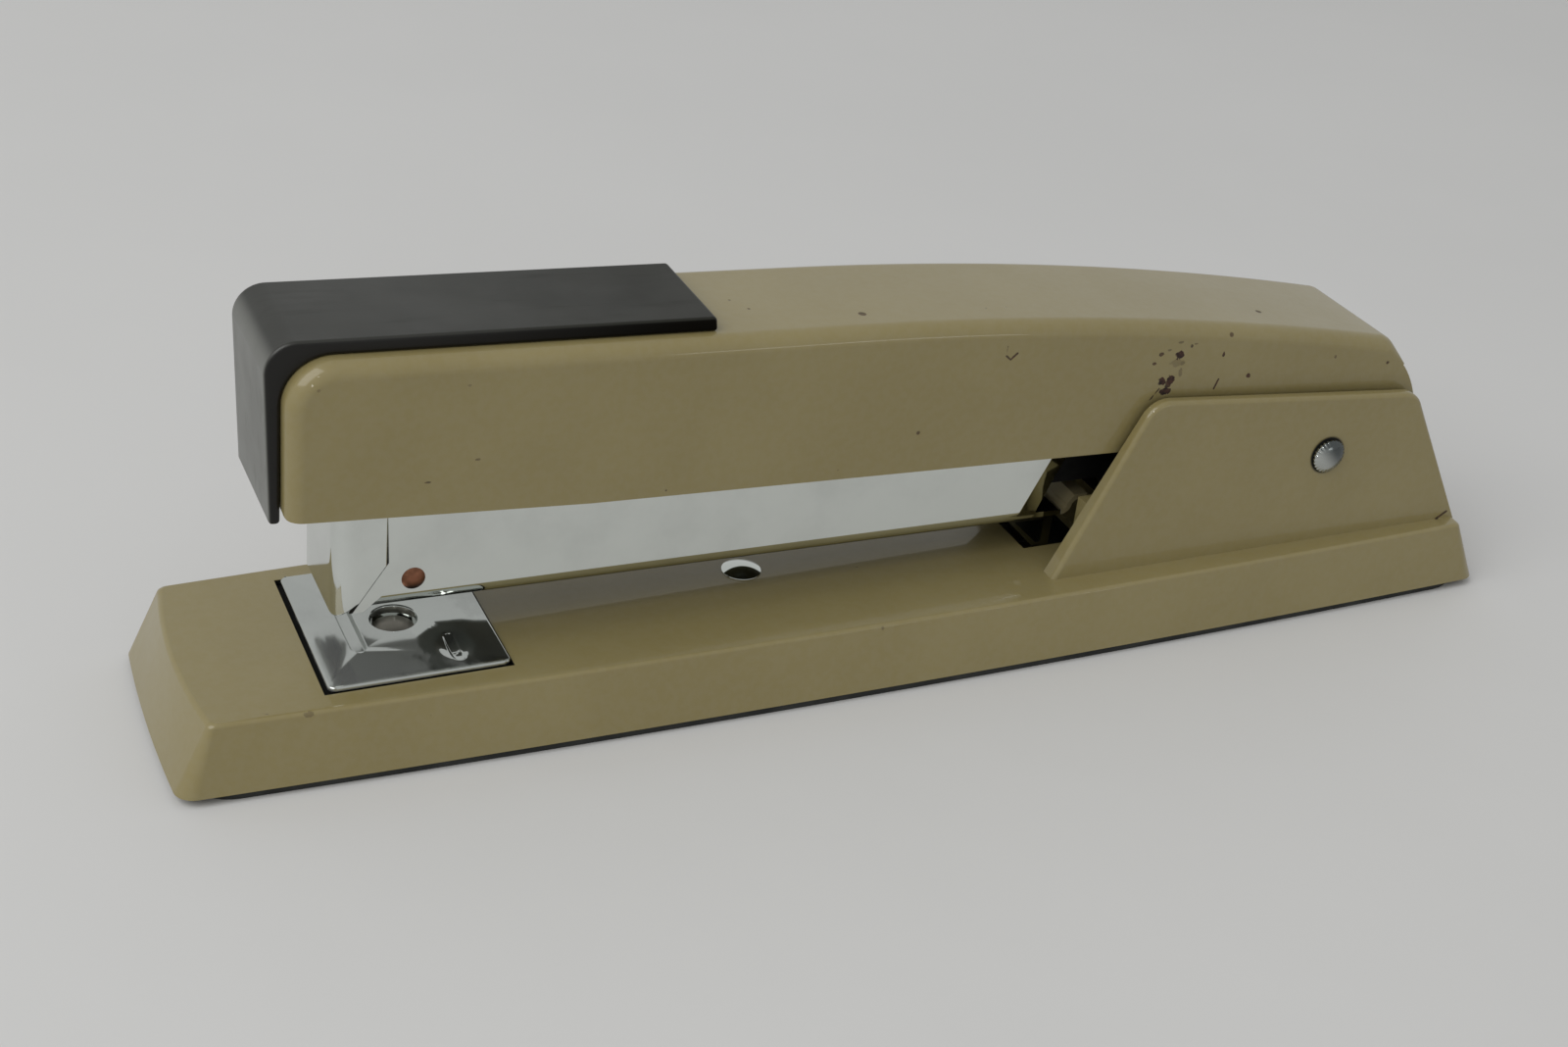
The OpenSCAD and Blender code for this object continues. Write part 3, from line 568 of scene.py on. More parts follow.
coverScratches = [  # mm across, from, to, width, depth
    (-10.6, (-30.8, 11.2), (-29.6, 12.8), 0.36, 1.0), (-10.6, (-20.4, 11.7), (-19.9, 13.1), 0.36, 1.0),
    (-10.6, (-19.9, 13.1), (-19.6, 14.3), 0.2, 0.45), (-10.75, (-54.9, 22.0), (-54.9, 20.6), 0.28, 0.8),
    (-10.75, (-54.9, 20.6), (-54.2, 20.0), 0.4, 0.85), (-10.75, (-54.2, 20.0), (-53.3, 20.8), 0.42, 0.9),
]
# wear on the base: mm from the middle of the foot, half sizes, depth
baseChips = [
    ((-86.6, -15.6, 10.2), (0.8, 0.5, 0.35), 0.45), ((-81.6, -16.6, 10.2), (0.7, 0.5, 0.35), 0.4),
    ((60.0, 17.2, 10.0), (1.2, 0.6, 0.4), 0.5),
    ((-5.0, -17.6, 10.0), (0.9, 0.5, 0.35), 0.4), ((-93.6, 12.0, 9.6), (0.6, 1.2, 0.5), 0.5),
]
baseScratches = [((90.1, -14.1, 10.6), (91.8, -14.0, 11.6), 0.4, 0.9)]


def fromPin(x, y, z):
    return Vector((x, y, z)) + Vector((pin.x, 0, pin.z))


pinChips = [(fromPin(x, y, z), (halfX, halfY, halfZ), depth)
            for y, halfY, *marks in coverChips for x, z, halfX, halfZ, depth in marks]
pinScratches = [(fromPin(a[0], y, a[1]), fromPin(b[0], y, b[1]), width, depth)
                for y, a, b, width, depth in coverScratches]
baseEnamel = enamel("baseEnamel", baseChips, baseScratches, baseGapShade)
coverEnamel = enamel("coverEnamel", pinChips, pinScratches)
capPlastic = capBlack()
# the tones paint light or shade into one chrome: a little lighter on the magazine, darker on the anvil and the
# pin
magazineChrome = chrome("magazineChrome", 0.4, 1.03, magazineMarks)
anvilChrome = chrome("anvilChrome", 0.6, 0.78, anvilHaze)
rivetChrome = chrome("rivetChrome", 0.3)
pinSteel = chrome("pinSteel", 0.8, 0.75, pinShade)
partSteel = plainSteel("partSteel", (0.50, 0.50, 0.49), 0.3)
springSteel = plainSteel("springSteel", (0.33, 0.34, 0.36), 0.28)
# painted shade: the lug's steel is near black, standing in for the shade it sits in
lugShadedSteel = plainSteel("lugShadedSteel", (0.07, 0.07, 0.05), 0.35, along=(1.0, 1.0, 0.1))
buttonSteel = plainSteel("buttonSteel", (0.30, 0.28, 0.24), 0.4, along=(1.0, 1.0, 1.0))
# painted shade: the arms are near black, standing in for the shade under the cover
armShadedBlack = mattDark("armPaintedShade", ((0.004, 0.004, 0.004), (0.010, 0.010, 0.009)), 200, 800, (0.15, 0.00006),
                    (150, 3, 0.3, 0.7, 0.6, 0.75), specular=0.08)
copperFinish = copper()
rubberFinish = mattDark("footRubber", ((0.012, 0.013, 0.012), (0.026, 0.027, 0.025)), 150, 1800, (0.3, 0.00008),
                        (400, 3, 0.3, 0.7, 0.7, 0.85))
print("stapler: finishes made")


# base: a hollow pressing with bowed sides, two ears and the anvil's seat

baseLow, baseHigh = boxMm("base_shell")
base = {
    "halfLength": baseHigh.x, "halfWidth": baseHigh.y, "footZ": baseLow.z, "topZ": 10.6,
    "endLean": 3.4, "rearLean": 4.7, "frontBowMore": 0.9, "sideLean": 1.4, "sideBow": 1.6,
    "endBow": 0.5, "cornerRadius": 2.6, "topCornerRadius": 0.9, "creaseRadius": 0.5, "sheet": 1.1,
    "lugSlot": (23.4, 34.0, 10.4), "swingSlot": (53.0, 82.0, 22.0), "pinBore": 2.0, "edge": 0.22,
}
ear = {
    "inner": 11.6, "thickAtFoot": 2.5, "thickAtTop": 1.3, "rim": 0.7, "rearRim": 0.3,
    "footOut": 0.4,
    "outline": (22.5, (35.9, 36.2), (81.6, 32.3)),  # front of the foot, then the two top corners
    "corner": 4.0, "tab": (28.2, 31.0, 9.4, 20.7),
}
anvil = {
    "x": -66.8, "length": 23.2, "width": 27.0, "corner": 1.0, "top": 11.2, "thick": 0.55,
    "holeDepth": 1.35, "bossRadius": 11.1, "seatRadius": 11.4, "seatFloor": 9.3, "groove": 0.6,
    "grooveDepth": 0.9, "holeRadius": 3.03, "holeRim": 0.25, "rim": 0.32, "stemRadius": 1.95,
    "bossGap": 0.1, "steps": 72,
}


def planOutline(halfLength, halfWidth, corner, sideBow, endBow, steps=14):
    # the base seen from above: bowed ends and sides with round corners
    cx, cy = halfLength - endBow - corner, halfWidth - sideBow - corner
    quarter = [(cx + corner + endBow * (1 - (i / steps) ** 2), cy * i / steps) for i in range(steps)]
    quarter += around(cx, cy, corner, quarterTurn(steps)[:-1])
    quarter += [(cx * i / steps, cy + corner + sideBow * (1 - (i / steps) ** 2)) for i in range(steps, -1, -1)]
    half = quarter + [(-x, y) for x, y in reversed(quarter[1:-1])]
    return half + [(-x, -y) for x, y in half]


def basePlan(z, inset):
    # the front end bows out further towards its crease than at its foot
    b = base
    share = (z - b["footZ"]) / (b["topZ"] - b["footZ"])
    corner = b["cornerRadius"] + (b["topCornerRadius"] - b["cornerRadius"]) * share
    middle, shift = (b["endLean"] + b["rearLean"]) / 2, (b["endLean"] - b["rearLean"]) / 2
    halfLength = b["halfLength"] - inset - middle * share
    halfWidth = b["halfWidth"] - inset - b["sideLean"] * share
    rear, front = [planOutline(halfLength, halfWidth, max(corner - inset, 1.0), b["sideBow"],
                               b["endBow"] + more * share) for more in (0, b["frontBowMore"])]
    whole = [f if f[0] < 0 else r for r, f in zip(rear, front)]
    return atHeight([(x + shift * share, y) for x, y in whole], z)


def baseForm(name, inset, low):
    crease, top = base["creaseRadius"], base["topZ"] - inset
    heights = [(low + (top - crease - low) * i / 3, inset) for i in range(3)]
    heights += [(top - drop, inset + inward) for inward, drop in roundOver(crease, 7)]
    return loft(name, [basePlan(z, offset) for z, offset in heights])


def roundedCorner(p, a, b, radius, inset, steps=10):
    u, v = (Vector(a) - Vector(p)).normalized(), (Vector(b) - Vector(p)).normalized()
    w = (u + v).normalized()
    centre = Vector(p) + w * radius / (u - w * u.dot(w)).length
    first, last = (u * u.dot(w) - w).normalized(), (v * v.dot(w) - w).normalized()
    return [centre + (radius - inset) * (first * (1 - i / steps) + last * (i / steps)).normalized()
            for i in range(steps + 1)]


def earOutline(inset):
    low, e = base["topZ"] - base["sheet"], ear
    footRear = (base["halfLength"] - base["rearLean"] + e["footOut"], low)
    footX, topFront, topRear = e["outline"]
    points = [(footRear[0] - inset * e["rearRim"], low), (footX + inset, low)]
    points += roundedCorner(topFront, (footX, low), topRear, e["corner"], inset)
    return points + roundedCorner(topRear, topFront, footRear, e["corner"], inset)


def earOuter(z):
    share = (z - base["topZ"]) / (ear["outline"][1][1] - base["topZ"])
    return ear["inner"] + ear["thickAtFoot"] - (ear["thickAtFoot"] - ear["thickAtTop"]) * share


def makeEar(side):
    rings = [[(x, side * ear["inner"], z) for x, z in earOutline(0)]]
    for inward, drop in roundOver(ear["rim"], 6):
        rings.append([(x, side * (earOuter(z) - drop), z) for x, z in earOutline(inward)])
    return loft("ear", rings)


def makeBaseShell():
    x, gap, top, sheet = anvil["x"], anvil["groove"], base["topZ"], base["sheet"]
    body = baseForm("baseShell", 0, base["footZ"])
    cutAway(body, baseForm("hollow", sheet, base["footZ"] - 2))
    weldOn(body, rod("cup", x, anvil["seatRadius"] + sheet, anvil["seatFloor"] - sheet, top - 0.5))
    x0, x1, tabInner, tabTop = ear["tab"]
    for side in (-1, 1):
        y0, y1 = sorted((side * tabInner, side * (ear["inner"] + 0.6)))
        weldOn(body, makeEar(side), block("tab", (x0, y0, top - sheet), (x1, y1, tabTop)))
    seat = rod("seat", x, anvil["seatRadius"], anvil["seatFloor"], top + 1)
    halfL, halfW = anvil["length"] / 2 + gap, anvil["width"] / 2 + gap / 2
    moat = block("moat", (x - halfL, -halfW, top - anvil["grooveDepth"]), (x + halfL - gap / 2, halfW, top + 1))
    inL, inW = halfL - 2 * gap, halfW - gap * 1.5
    island = block("island", (x - inL, -inW, 0), (x + inL, inW, top + cutterRun))
    slots = [block("slot", (s0, -width / 2, 0), (s1, width / 2, top + 1))
             for s0, s1, width in (base["lugSlot"], base["swingSlot"])]
    cutAway(body, seat, cutAway(moat, island), *slots, pinRod("bore", base["pinBore"], baseHigh.y + cutterRun))
    editMesh(body.data, lambda form: bmesh.ops.dissolve_limit(
        form, angle_limit=radians(0.2), verts=form.verts, edges=form.edges))
    evenShading(body, 28, base["edge"])
    finishPiece(body, "base", baseEnamel, "base_shell")


makeBaseShell()
print("stapler: base made")


# anvil plate: a pressed chrome plate with two rows of forming grooves and a round window

grooveWall = {"out": 0.18, "run": 0.5}  # how far outside the half width a wall starts, and its width
# each groove: centre line (x, y0, y1) from the plate's middle, half width, depth and the bowl round it
grooves = [
    {"line": (-5.9, -5.4, 5.4), "half": 1.0, "depth": 0.7, "bowl": (1.6, 7.0), "sink": 0.1},
    {"line": (5.6, -10.9, -5.8), "half": 0.75, "depth": 0.2, "bowl": (2.7, 3.6), "sink": 0.45},
    {"line": (5.6, 5.8, 10.9), "half": 0.75, "depth": 0.2, "bowl": (2.7, 3.6), "sink": 0.45},
]


def stadium(line, radius, steps=12):
    # a loop of points at one distance round a centre line along Y
    x, y0, y1 = line
    turns = [pi * i / steps for i in range(steps + 1)]
    left = [(x - radius, y1 + (y0 - y1) * i / 4) for i in range(1, 4)]
    right = [(x + radius, y0 + (y1 - y0) * i / 4) for i in range(1, 4)]
    return around(x, y1, radius, turns) + left + around(x, y0, -radius, turns) + right


def smooth(t):
    t = max(0.0, min(1.0, t))
    return t * t * (3 - 2 * t)


def anvilSink(x, y):
    # how far the plate's top is pressed down at a point
    sink = 0.0
    for g in grooves:
        gx, y0, y1 = g["line"]
        away = hypot(x - gx, y - max(y0, min(y1, y)))
        share = hypot((x - gx) / g["bowl"][0], (y - (y0 + y1) / 2) / g["bowl"][1])
        wall = smooth((g["half"] + grooveWall["out"] - away) / grooveWall["run"])
        sink = max(sink, g["sink"] * smooth(1.25 - share * 1.25) + g["depth"] * wall)
    # beyond the boss only the sheet's thickness is left
    return min(sink, anvil["thick"] - 0.05 + 0.8 * max(0.0, anvil["bossRadius"] - 0.2 - hypot(x, y)))


def plateOutline(inset, steps=8):
    hl, hw, r = anvil["length"] / 2 - inset, anvil["width"] / 2 - inset, anvil["corner"] - inset
    loop = []
    for sx, sy, a0 in ((1, 1, 0), (-1, 1, 90), (-1, -1, 180), (1, -1, 270)):
        loop += arcPoints(sx * (hl - r), sy * (hw - r), r, a0, a0 + 90, steps)
    return loop


def ringEdges(first, count):
    return [(first + k, first + (k + 1) % count) for k in range(count)]


def beyond(radius, points, triangles):
    # the triangles whose middles lie outside a circle
    return [t for t in triangles if sum((points[i] for i in t), Vector((0, 0))).length / 3 > radius]


def makeAnvilPlate():
    middle, top, steps, hole = anvil["x"], anvil["top"], anvil["steps"], anvil["holeRadius"]
    rim, holeRim, bossRadius = anvil["rim"], anvil["holeRim"], anvil["bossRadius"]
    # loops of the top face, with how far each lies below it where that is fixed
    loops = [(plateOutline(inward), drop) for inward, drop in roundOver(rim, 5)]
    loops += [(circle(hole + inward, steps=steps), drop) for inward, drop in roundOver(holeRim, 4)]
    for g in grooves:
        radii = [g["half"] + grooveWall["out"] - grooveWall["run"] * i / 6 for i in range(7)]
        loops += [(stadium(g["line"], r), None) for r in radii if r > 0.02]
        x, y0, y1 = g["line"]
        a, b = g["bowl"]
        loops += [(circle(a * i / 8, x, (y0 + y1) / 2, 32, b * i / 8), None) for i in range(2, 9)]
    points, edges, heights = [], [], {}
    for loop, drop in loops:
        edges += ringEdges(len(points), len(loop))
        for x, y in loop:
            if drop is not None:
                heights[(round(x, 5), round(y, 5))] = drop
            points.append(Vector((x, y)))
    flat, _, triangles = delaunay_2d_cdt(points, edges, [], 1, 1e-5)[:3]
    faces = beyond(hole + 1e-3, flat, triangles)
    points = []
    for p in flat:
        drop = heights.get((round(p.x, 5), round(p.y, 5)))
        points.append((middle + p.x, p.y, top - (anvilSink(p.x, p.y) if drop is None else drop)))
    # walls of the rim and the window, the stem, the boss and the underside
    under, deep, bossLow = top - anvil["thick"], top - anvil["holeDepth"], anvil["seatFloor"] + anvil["bossGap"]
    outer = [(middle + x, y) for x, y in plateOutline(0)]
    window, stem, boss = [circle(r, middle, 0.0, steps) for r in (hole, anvil["stemRadius"], bossRadius)]
    for loop, z0, loopTo, z1 in ((outer, top - rim, outer, under), (window, top - holeRim, window, deep),
                                 (window, deep, stem, deep), (stem, deep, stem, bossLow),
                                 (stem, bossLow, boss, bossLow), (boss, bossLow, boss, under)):
        first, count = len(points), len(loop)
        points += atHeight(loop, z0) + atHeight(loopTo, z1)
        faces += [(a, b, b + count, a + count) for a, b in ringEdges(first, count)]
    lid = delaunay_2d_cdt([Vector((x - middle, y)) for x, y in outer + boss],
                          ringEdges(0, len(outer)) + ringEdges(len(outer), steps), [], 1, 1e-5)
    first = len(points)
    points += [(middle + p.x, p.y, under) for p in lid[0]]
    faces += [tuple(first + i for i in t) for t in beyond(bossRadius - 1e-3, lid[0], lid[2])]
    plate = makePiece("anvilPlate", points, faces)
    softShade(plate, 50)
    finishPiece(plate, "anvil_plate", anvilChrome, "anvil_plate")


makeAnvilPlate()


# rivets and the pin: turned heads

def domeProfile(radius, height, z, steps=8):
    # from the rim up to the axis
    ball = (radius ** 2 + height ** 2) / (2 * height)
    turns = [asin(radius / ball) * (1 - i / steps) for i in range(steps + 1)]
    return [(ball * sin(a), z + height - ball + ball * cos(a)) for a in turns]


baseRivet = {"shank": 1.5, "grip": 0.6, "edge": 0.06}
pinHead = {"shank": 2.0, "teeth": 26, "notch": 0.045, "rim": 0.4, "dome": 0.8}


def makeBaseRivet():
    low, high = boxMm("base_rivet")
    head, shank, edge = (high.x - low.x) / 2, baseRivet["shank"], baseRivet["edge"]
    seatZ, underZ = base["topZ"], base["topZ"] - base["sheet"] - baseRivet["grip"]
    lift = high.z - seatZ
    profile = [(0.0, low.z)] + [(r, 2 * underZ - z) for r, z in reversed(domeProfile(head, lift, underZ))][1:]
    profile += [(shank, underZ), (shank, seatZ), (head - 0.08, seatZ), (head, seatZ + edge)]
    profile += domeProfile(head - 0.02, lift - 2 * edge, seatZ + 2 * edge)
    rivet = place(lathe("baseRivet", profile), moved((low.x + high.x) / 2, 0, 0))
    softShade(rivet, 40)
    finishPiece(rivet, "base", rivetChrome, "base_rivet")


def makeHingePin():
    low, high = boxMm("hinge_pin")
    radius, rim, dome = (high.z - low.z) / 2, pinHead["rim"], pinHead["dome"]
    seatY = high.y - rim - dome

    def knurl(a, r):
        # the head's rim is notched all round
        return 1 - pinHead["notch"] * (0.5 + 0.5 * cos(pinHead["teeth"] * a)) if r > 0.8 * radius else 1

    head = [(pinHead["shank"], seatY), (radius - 0.12, seatY), (radius, seatY + 0.1), (radius, seatY + rim)]
    head += domeProfile(radius - 0.1, dome - 0.1, seatY + rim + 0.1, 10)
    profile = [(r, -z) for r, z in reversed(head)] + head
    piece = place(lathe("hingePin", profile, 156, knurl), moved(pin.x, 0, pin.z) @ turned(90, "X"))
    softShade(piece, 38)
    finishPiece(piece, "base", pinSteel, "hinge_pin")


makeBaseRivet()
makeHingePin()
print("stapler: anvil, rivet and pin made")


# magazine: a chrome channel that is drawn level and then tilted about the pin

magazine = {
    "tilt": 0.95, "frontX": -74.2, "low": 15.0, "height": 14.25, "halfWidth": 7.33, "sheet": 0.8,
    "bend": 2.35, "rearTopX": 28.9, "rearLowX": 22.45, "rearBevel": (3.1, 0.7), "exitLength": 1.75,
    "exitTabLift": 0.2, "exitSlant": 2.5,
    "tail": {"halfWidth": 5.5, "bendX": 28.7, "bendRadius": 1.5, "lip": (30.8, 32.5), "lipLift": 2.1},
    "edge": 0.12,
    "rivet": (-66.2, 4.2, 1.5, 0.5),  # place along the channel, height above its floor, radius and lift
    "rivetShank": 0.9,
}


def makeMagazine():
    m, tail = magazine, magazine["tail"]
    hw, low, bend, sheet = m["halfWidth"], m["low"], m["bend"], m["sheet"]
    frontX, exitX = m["frontX"], m["frontX"] + m["exitLength"]
    half = [(hw, low + m["height"]), (hw, low + m["height"] * 0.5)]
    half += arcPoints(hw - bend, low + bend, bend, 0, -90, 8)
    section = half + [(-y, z) for y, z in reversed(half)]
    bevelLength, bevelDepth = m["rearBevel"]
    rows = [[(x, y, z) for y, z in section] for x in (frontX, exitX)]
    for share in (0.0, 0.08, 1.0):  # the second row keeps the bevel's crease crisp
        row = []
        for y, z in section:
            rearX = m["rearLowX"] + (m["rearTopX"] - m["rearLowX"]) * (z - low) / m["height"]
            inward = bevelDepth * share * smooth((z - low - bend * 0.4) / bend)
            row.append((rearX - bevelLength * (1 - share), y - copysign(inward, y), z))
        rows.append(row)
    channel = loft("magazineChannel", rows, solid=False)
    thicken(channel, sheet)
    cutAway(channel, block("gap", (frontX - 1, sheet - hw, low - 1), (exitX, hw - sheet, low + bend)))
    # the turned-up tail, and the side walls' tabs at the exit gap
    start, lipZ, (lipX, lipEnd) = m["rearLowX"] - 1, low + tail["lipLift"], tail["lip"]
    x, r = tail["bendX"], tail["bendRadius"]
    outline = [(start, low)] + arcPoints(x, low + r, r, -90, 0, 10)
    outline += [(lipX, lipZ), (lipEnd, lipZ), (lipEnd, lipZ + sheet), (lipX - sheet / 2, lipZ + sheet)]
    outline += arcPoints(x, low + r, r - sheet, 0, -90, 10) + [(start, low + sheet)]
    side = [(frontX, low + m["exitTabLift"]), (exitX, low + m["exitTabLift"]),
            (exitX + m["exitSlant"], low + bend), (frontX, low + bend)]
    tabs = [extrudeOutline("tab", side, y, y + sheet) for y in (-hw, hw - sheet)]
    weldOn(channel, extrudeOutline("tail", outline, -tail["halfWidth"], tail["halfWidth"]), *tabs)
    evenShading(channel, 30, m["edge"])
    tiltNoseUp(channel, m["tilt"])
    finishPiece(channel, "magazine", magazineChrome, "magazine_channel")


nose = {
    "frontX": -76.3, "wingX": -69.8, "halfWidth": 8.28, "sheet": 0.8, "bend": 2.6, "low": 14.9,
    "tip": 1.7, "wingLow": 22.0, "top": 29.25, "corner": 1.8, "edge": 0.15,
}


def makeNosePlate():
    n = nose
    hw, bend = n["halfWidth"], n["bend"]
    half = [(n["wingX"] - (n["wingX"] - n["frontX"] - bend) * i / 8, hw) for i in range(8)]
    half += arcPoints(n["frontX"] + bend, hw - bend, bend, 90, 180, 10)
    half += [(n["frontX"], (hw - bend) * (1 - i / 6)) for i in range(1, 6)]
    path = half + [(n["frontX"], 0)] + [(x, -y) for x, y in reversed(half)]

    def lowZ(x, y):
        # the wings rise in a slant, and the front has round lower corners
        tipX = n["frontX"] + n["tip"]
        slant = n["low"] + max(0.0, x - tipX) * (n["wingLow"] - n["low"]) / (n["wingX"] - tipX)
        past = max(0.0, abs(y) - hw + n["corner"])
        return max(slant, n["low"] + n["corner"] - sqrt(max(0.0, n["corner"] ** 2 - past ** 2)))

    rows = [[(x, y, n["top"] + (lowZ(x, y) - n["top"]) * (i / 12)) for x, y in path] for i in range(13)]
    plate = loft("nosePlate", rows, solid=False)
    thicken(plate, n["sheet"])
    evenShading(plate, 35, n["edge"])
    tiltNoseUp(plate, magazine["tilt"])
    finishPiece(plate, "magazine", magazineChrome, "nose_plate")


def makeMagazineRivets():
    x, up, radius, lift = magazine["rivet"]
    z, hw, sheet, shank = magazine["low"] + up, magazine["halfWidth"], magazine["sheet"], magazine["rivetShank"]
    profile = [(0.0, -sheet), (shank, -sheet), (shank, 0.0), (radius, 0.0)] + domeProfile(radius, lift, 0.03)
    pair = bmesh.new()
    for side in (-1, 1):
        head = place(lathe("rivetHead", profile, 48), moved(x, side * hw, z) @ turned(-90 * side, "X"))
        pair.from_mesh(head.data)
        bpy.data.objects.remove(head)
    piece = addObject("magazineRivets", bpy.data.meshes.new("magazineRivets"))
    pair.to_mesh(piece.data)
    pair.free()
    softShade(piece, 40)
    tiltNoseUp(piece, magazine["tilt"])
    finishPiece(piece, "magazine", copperFinish, "magazine_rivets")


makeMagazine()
makeNosePlate()
makeMagazineRivets()
print("stapler: magazine made")


# cover: a pressed shell, drawn level and tilted about the pin

cover = {
    "tilt": 2.37, "low": 26.45, "frontRise": 1.0, "top": 47.65, "frontTopX": -83.2,
    "frontLowX": -82.9, "noseRadius": 6.0, "edgeRadius": 2.2, "footRadius": 0.5, "riseX": -45.0,
    "flatEndX": -12.0, "rearX": 75.2,
    "flap": [(79.3, 36.6, 53, 0.3), (78.1, 38.15, 53, 1.0), (76.9, 39.68, 53, 1.8), (76.45, 40.1, 38, 2.0),
             (75.85, 40.42, 22, 2.2)],  # x, z, slope and shoulder radius
    "sweep": 545.0, "halfWidthFront": 11.4, "halfWidthRear": 10.6, "sheet": 1.0,
    "cheekFrontX": 38.0, "cheekRadius": 17.2, "cheekEnd": 43, "cheekLowRadius": 12.5,
    "rivetXs": (-58.0, -42.0), "studXs": (-68.0, -34.0), "topHole": 1.5, "pinHole": 2.05,
    "edge": 0.25,
}


def coverTop(x):
    c = cover
    past = max(0.0, x - c["flatEndX"])
    return c["top"] - (c["sweep"] - sqrt(c["sweep"] ** 2 - past ** 2))


def coverHalfWidth(x):
    c = cover
    share = (pin.x - x) / (pin.x - c["frontLowX"])
    return c["halfWidthRear"] + (c["halfWidthFront"] - c["halfWidthRear"]) * share


def coverSpine():
    # the side view's outline with outward normals, from the rear over the top and down the front
    c = cover
    flap = [(x, z, radians(a), r) for x, z, a, r in c["flap"]]
    spine = [((x, z), Vector((sin(a), cos(a))), r) for x, z, a, r in flap]
    x = c["rearX"]
    while x > c["flatEndX"]:
        past = x - c["flatEndX"]
        normal = Vector((past, sqrt(c["sweep"] ** 2 - past ** 2))).normalized()
        spine.append(((x, coverTop(x)), normal, c["edgeRadius"]))
        x -= 4.0
    r = c["noseRadius"]
    centre = (c["frontTopX"] + r, c["top"] - r)
    for i in range(5):
        x = c["flatEndX"] + (centre[0] - c["flatEndX"]) * i / 5
        spine.append(((x, c["top"]), Vector((0, 1)), c["edgeRadius"]))
    lean = degrees(atan2(c["frontLowX"] - c["frontTopX"], c["top"] - r - c["low"]))
    for i in range(13):
        a = radians(90 + (90 + lean) * i / 12)
        n = Vector((cos(a), sin(a)))
        spine.append(((centre[0] + r * n.x, centre[1] + r * n.y), n, c["edgeRadius"]))
    return spine, n


def makeCoverShell():
    c = cover
    spine, frontNormal = coverSpine()

    def row(point, normal, r=c["edgeRadius"], lowered=None):
        px, pz = point
        left = []
        for across, down in roundOver(r, 9):
            x, z = px - normal.x * down, pz - normal.y * down
            left.append((x, across - coverHalfWidth(px), z if lowered is None else lowered(down)))
        return left + [(x, -y, z) for x, y, z in reversed(left)]

    rows = [row(*line) for line in spine]
    fx, fz = spine[-1][0]

    def frontEdge(inward):
        # the front wall's lower edge is cut round in side view
        d = min(inward, c["footRadius"])
        lift = c["footRadius"] - sqrt(c["footRadius"] ** 2 - (c["footRadius"] - d) ** 2)
        return c["low"] + c["frontRise"] + lift

    for i in range(1, 7):
        share = i / 6
        x = fx + (c["frontLowX"] - fx) * share
        rows.append(row((x, fz), frontNormal, lowered=lambda d, s=share: fz + (frontEdge(d) - fz) * s))
    count = len(rows[0])
    points = [p for line in rows for p in line]
    faces = gridFaces(rows, count - 1)
    # flat sides with the cheeks that reach down to the pin
    cheek = [(c["riseX"], c["low"]), (c["cheekFrontX"], c["low"])]
    cheek += arcPoints(pin.x, pin.z, c["cheekLowRadius"], 235, 300, 12)
    cheek += arcPoints(pin.x, pin.z, c["cheekRadius"], 0, c["cheekEnd"], 14)
    for side, column in ((-1, 0), (1, count - 1)):
        loop = [i * count + column for i in range(len(rows))]
        first = len(points)
        points += [(x, side * coverHalfWidth(x), z) for x, z in cheek]
        loop += list(range(first, first + len(cheek)))
        faces.append(tuple(loop))
    shell = makePiece("coverShell", points, faces, closed=False)
    thicken(shell, c["sheet"])
    holes = [rod("hole", x, c["topHole"], c["top"] - cutterRun, c["top"] + cutterRun, 32)
             for x in c["rivetXs"] + c["studXs"]]
    cutAway(shell, pinRod("pinHole", c["pinHole"], c["halfWidthFront"] + cutterRun), *holes)
    evenShading(shell, 30, c["edge"], 45)
    tiltNoseUp(shell, c["tilt"])
    finishPiece(shell, "cover", coverEnamel, "cover_shell")


cap = {"thick": 1.9, "halfWidth": 8.65, "rearX": -29.5, "frontTopX": -85.3, "frontLowX": -84.3, "low": 26.0,
       "noseRadius": 3.9, "edge": 0.5, "studRadius": 1.4, "studDrop": 2.0}


def makeCap():
    c, inner, r = cover, cover["noseRadius"], cap["noseRadius"]
    low, top = c["top"], c["top"] + cap["thick"]
    outline = [(cap["rearX"], low), (cap["rearX"] - 0.3, top)]
    outline += arcPoints(cap["frontTopX"] + r, top - r, r, 90, 180, 16)
    outline += [(cap["frontLowX"], cap["low"]), (c["frontLowX"] - 0.05, cap["low"])]
    outline += arcPoints(c["frontTopX"] + inner, low - inner, inner, 180, 90, 16)
    piece = extrudeOutline("cap", outline, -cap["halfWidth"], cap["halfWidth"])
    roundEdges(piece, cap["edge"], 4, 40)
    bake(piece)
    weldOn(piece, *[rod("stud", x, cap["studRadius"], low - cap["studDrop"], low + cap["thick"] / 2, 32)
                    for x in c["studXs"]])
    evenShading(piece, 35)
    tiltNoseUp(piece, c["tilt"])
    finishPiece(piece, "cover", capPlastic, "cap")


makeCoverShell()
makeCap()
print("stapler: cover and cap made")


# wound springs

springs = {
    "pusher": {"start": -63.0, "end": 22.1, "z": 19.8, "radius": 1.7, "wire": 0.3, "turns": 24, "steps": 20},
    "anvil": {"start": 2.2, "end": 8.2, "radius": 3.6, "wire": 0.3, "turns": 4, "steps": 32},
    "flatTurns": 0.75,
    "slack": 0.2,
}


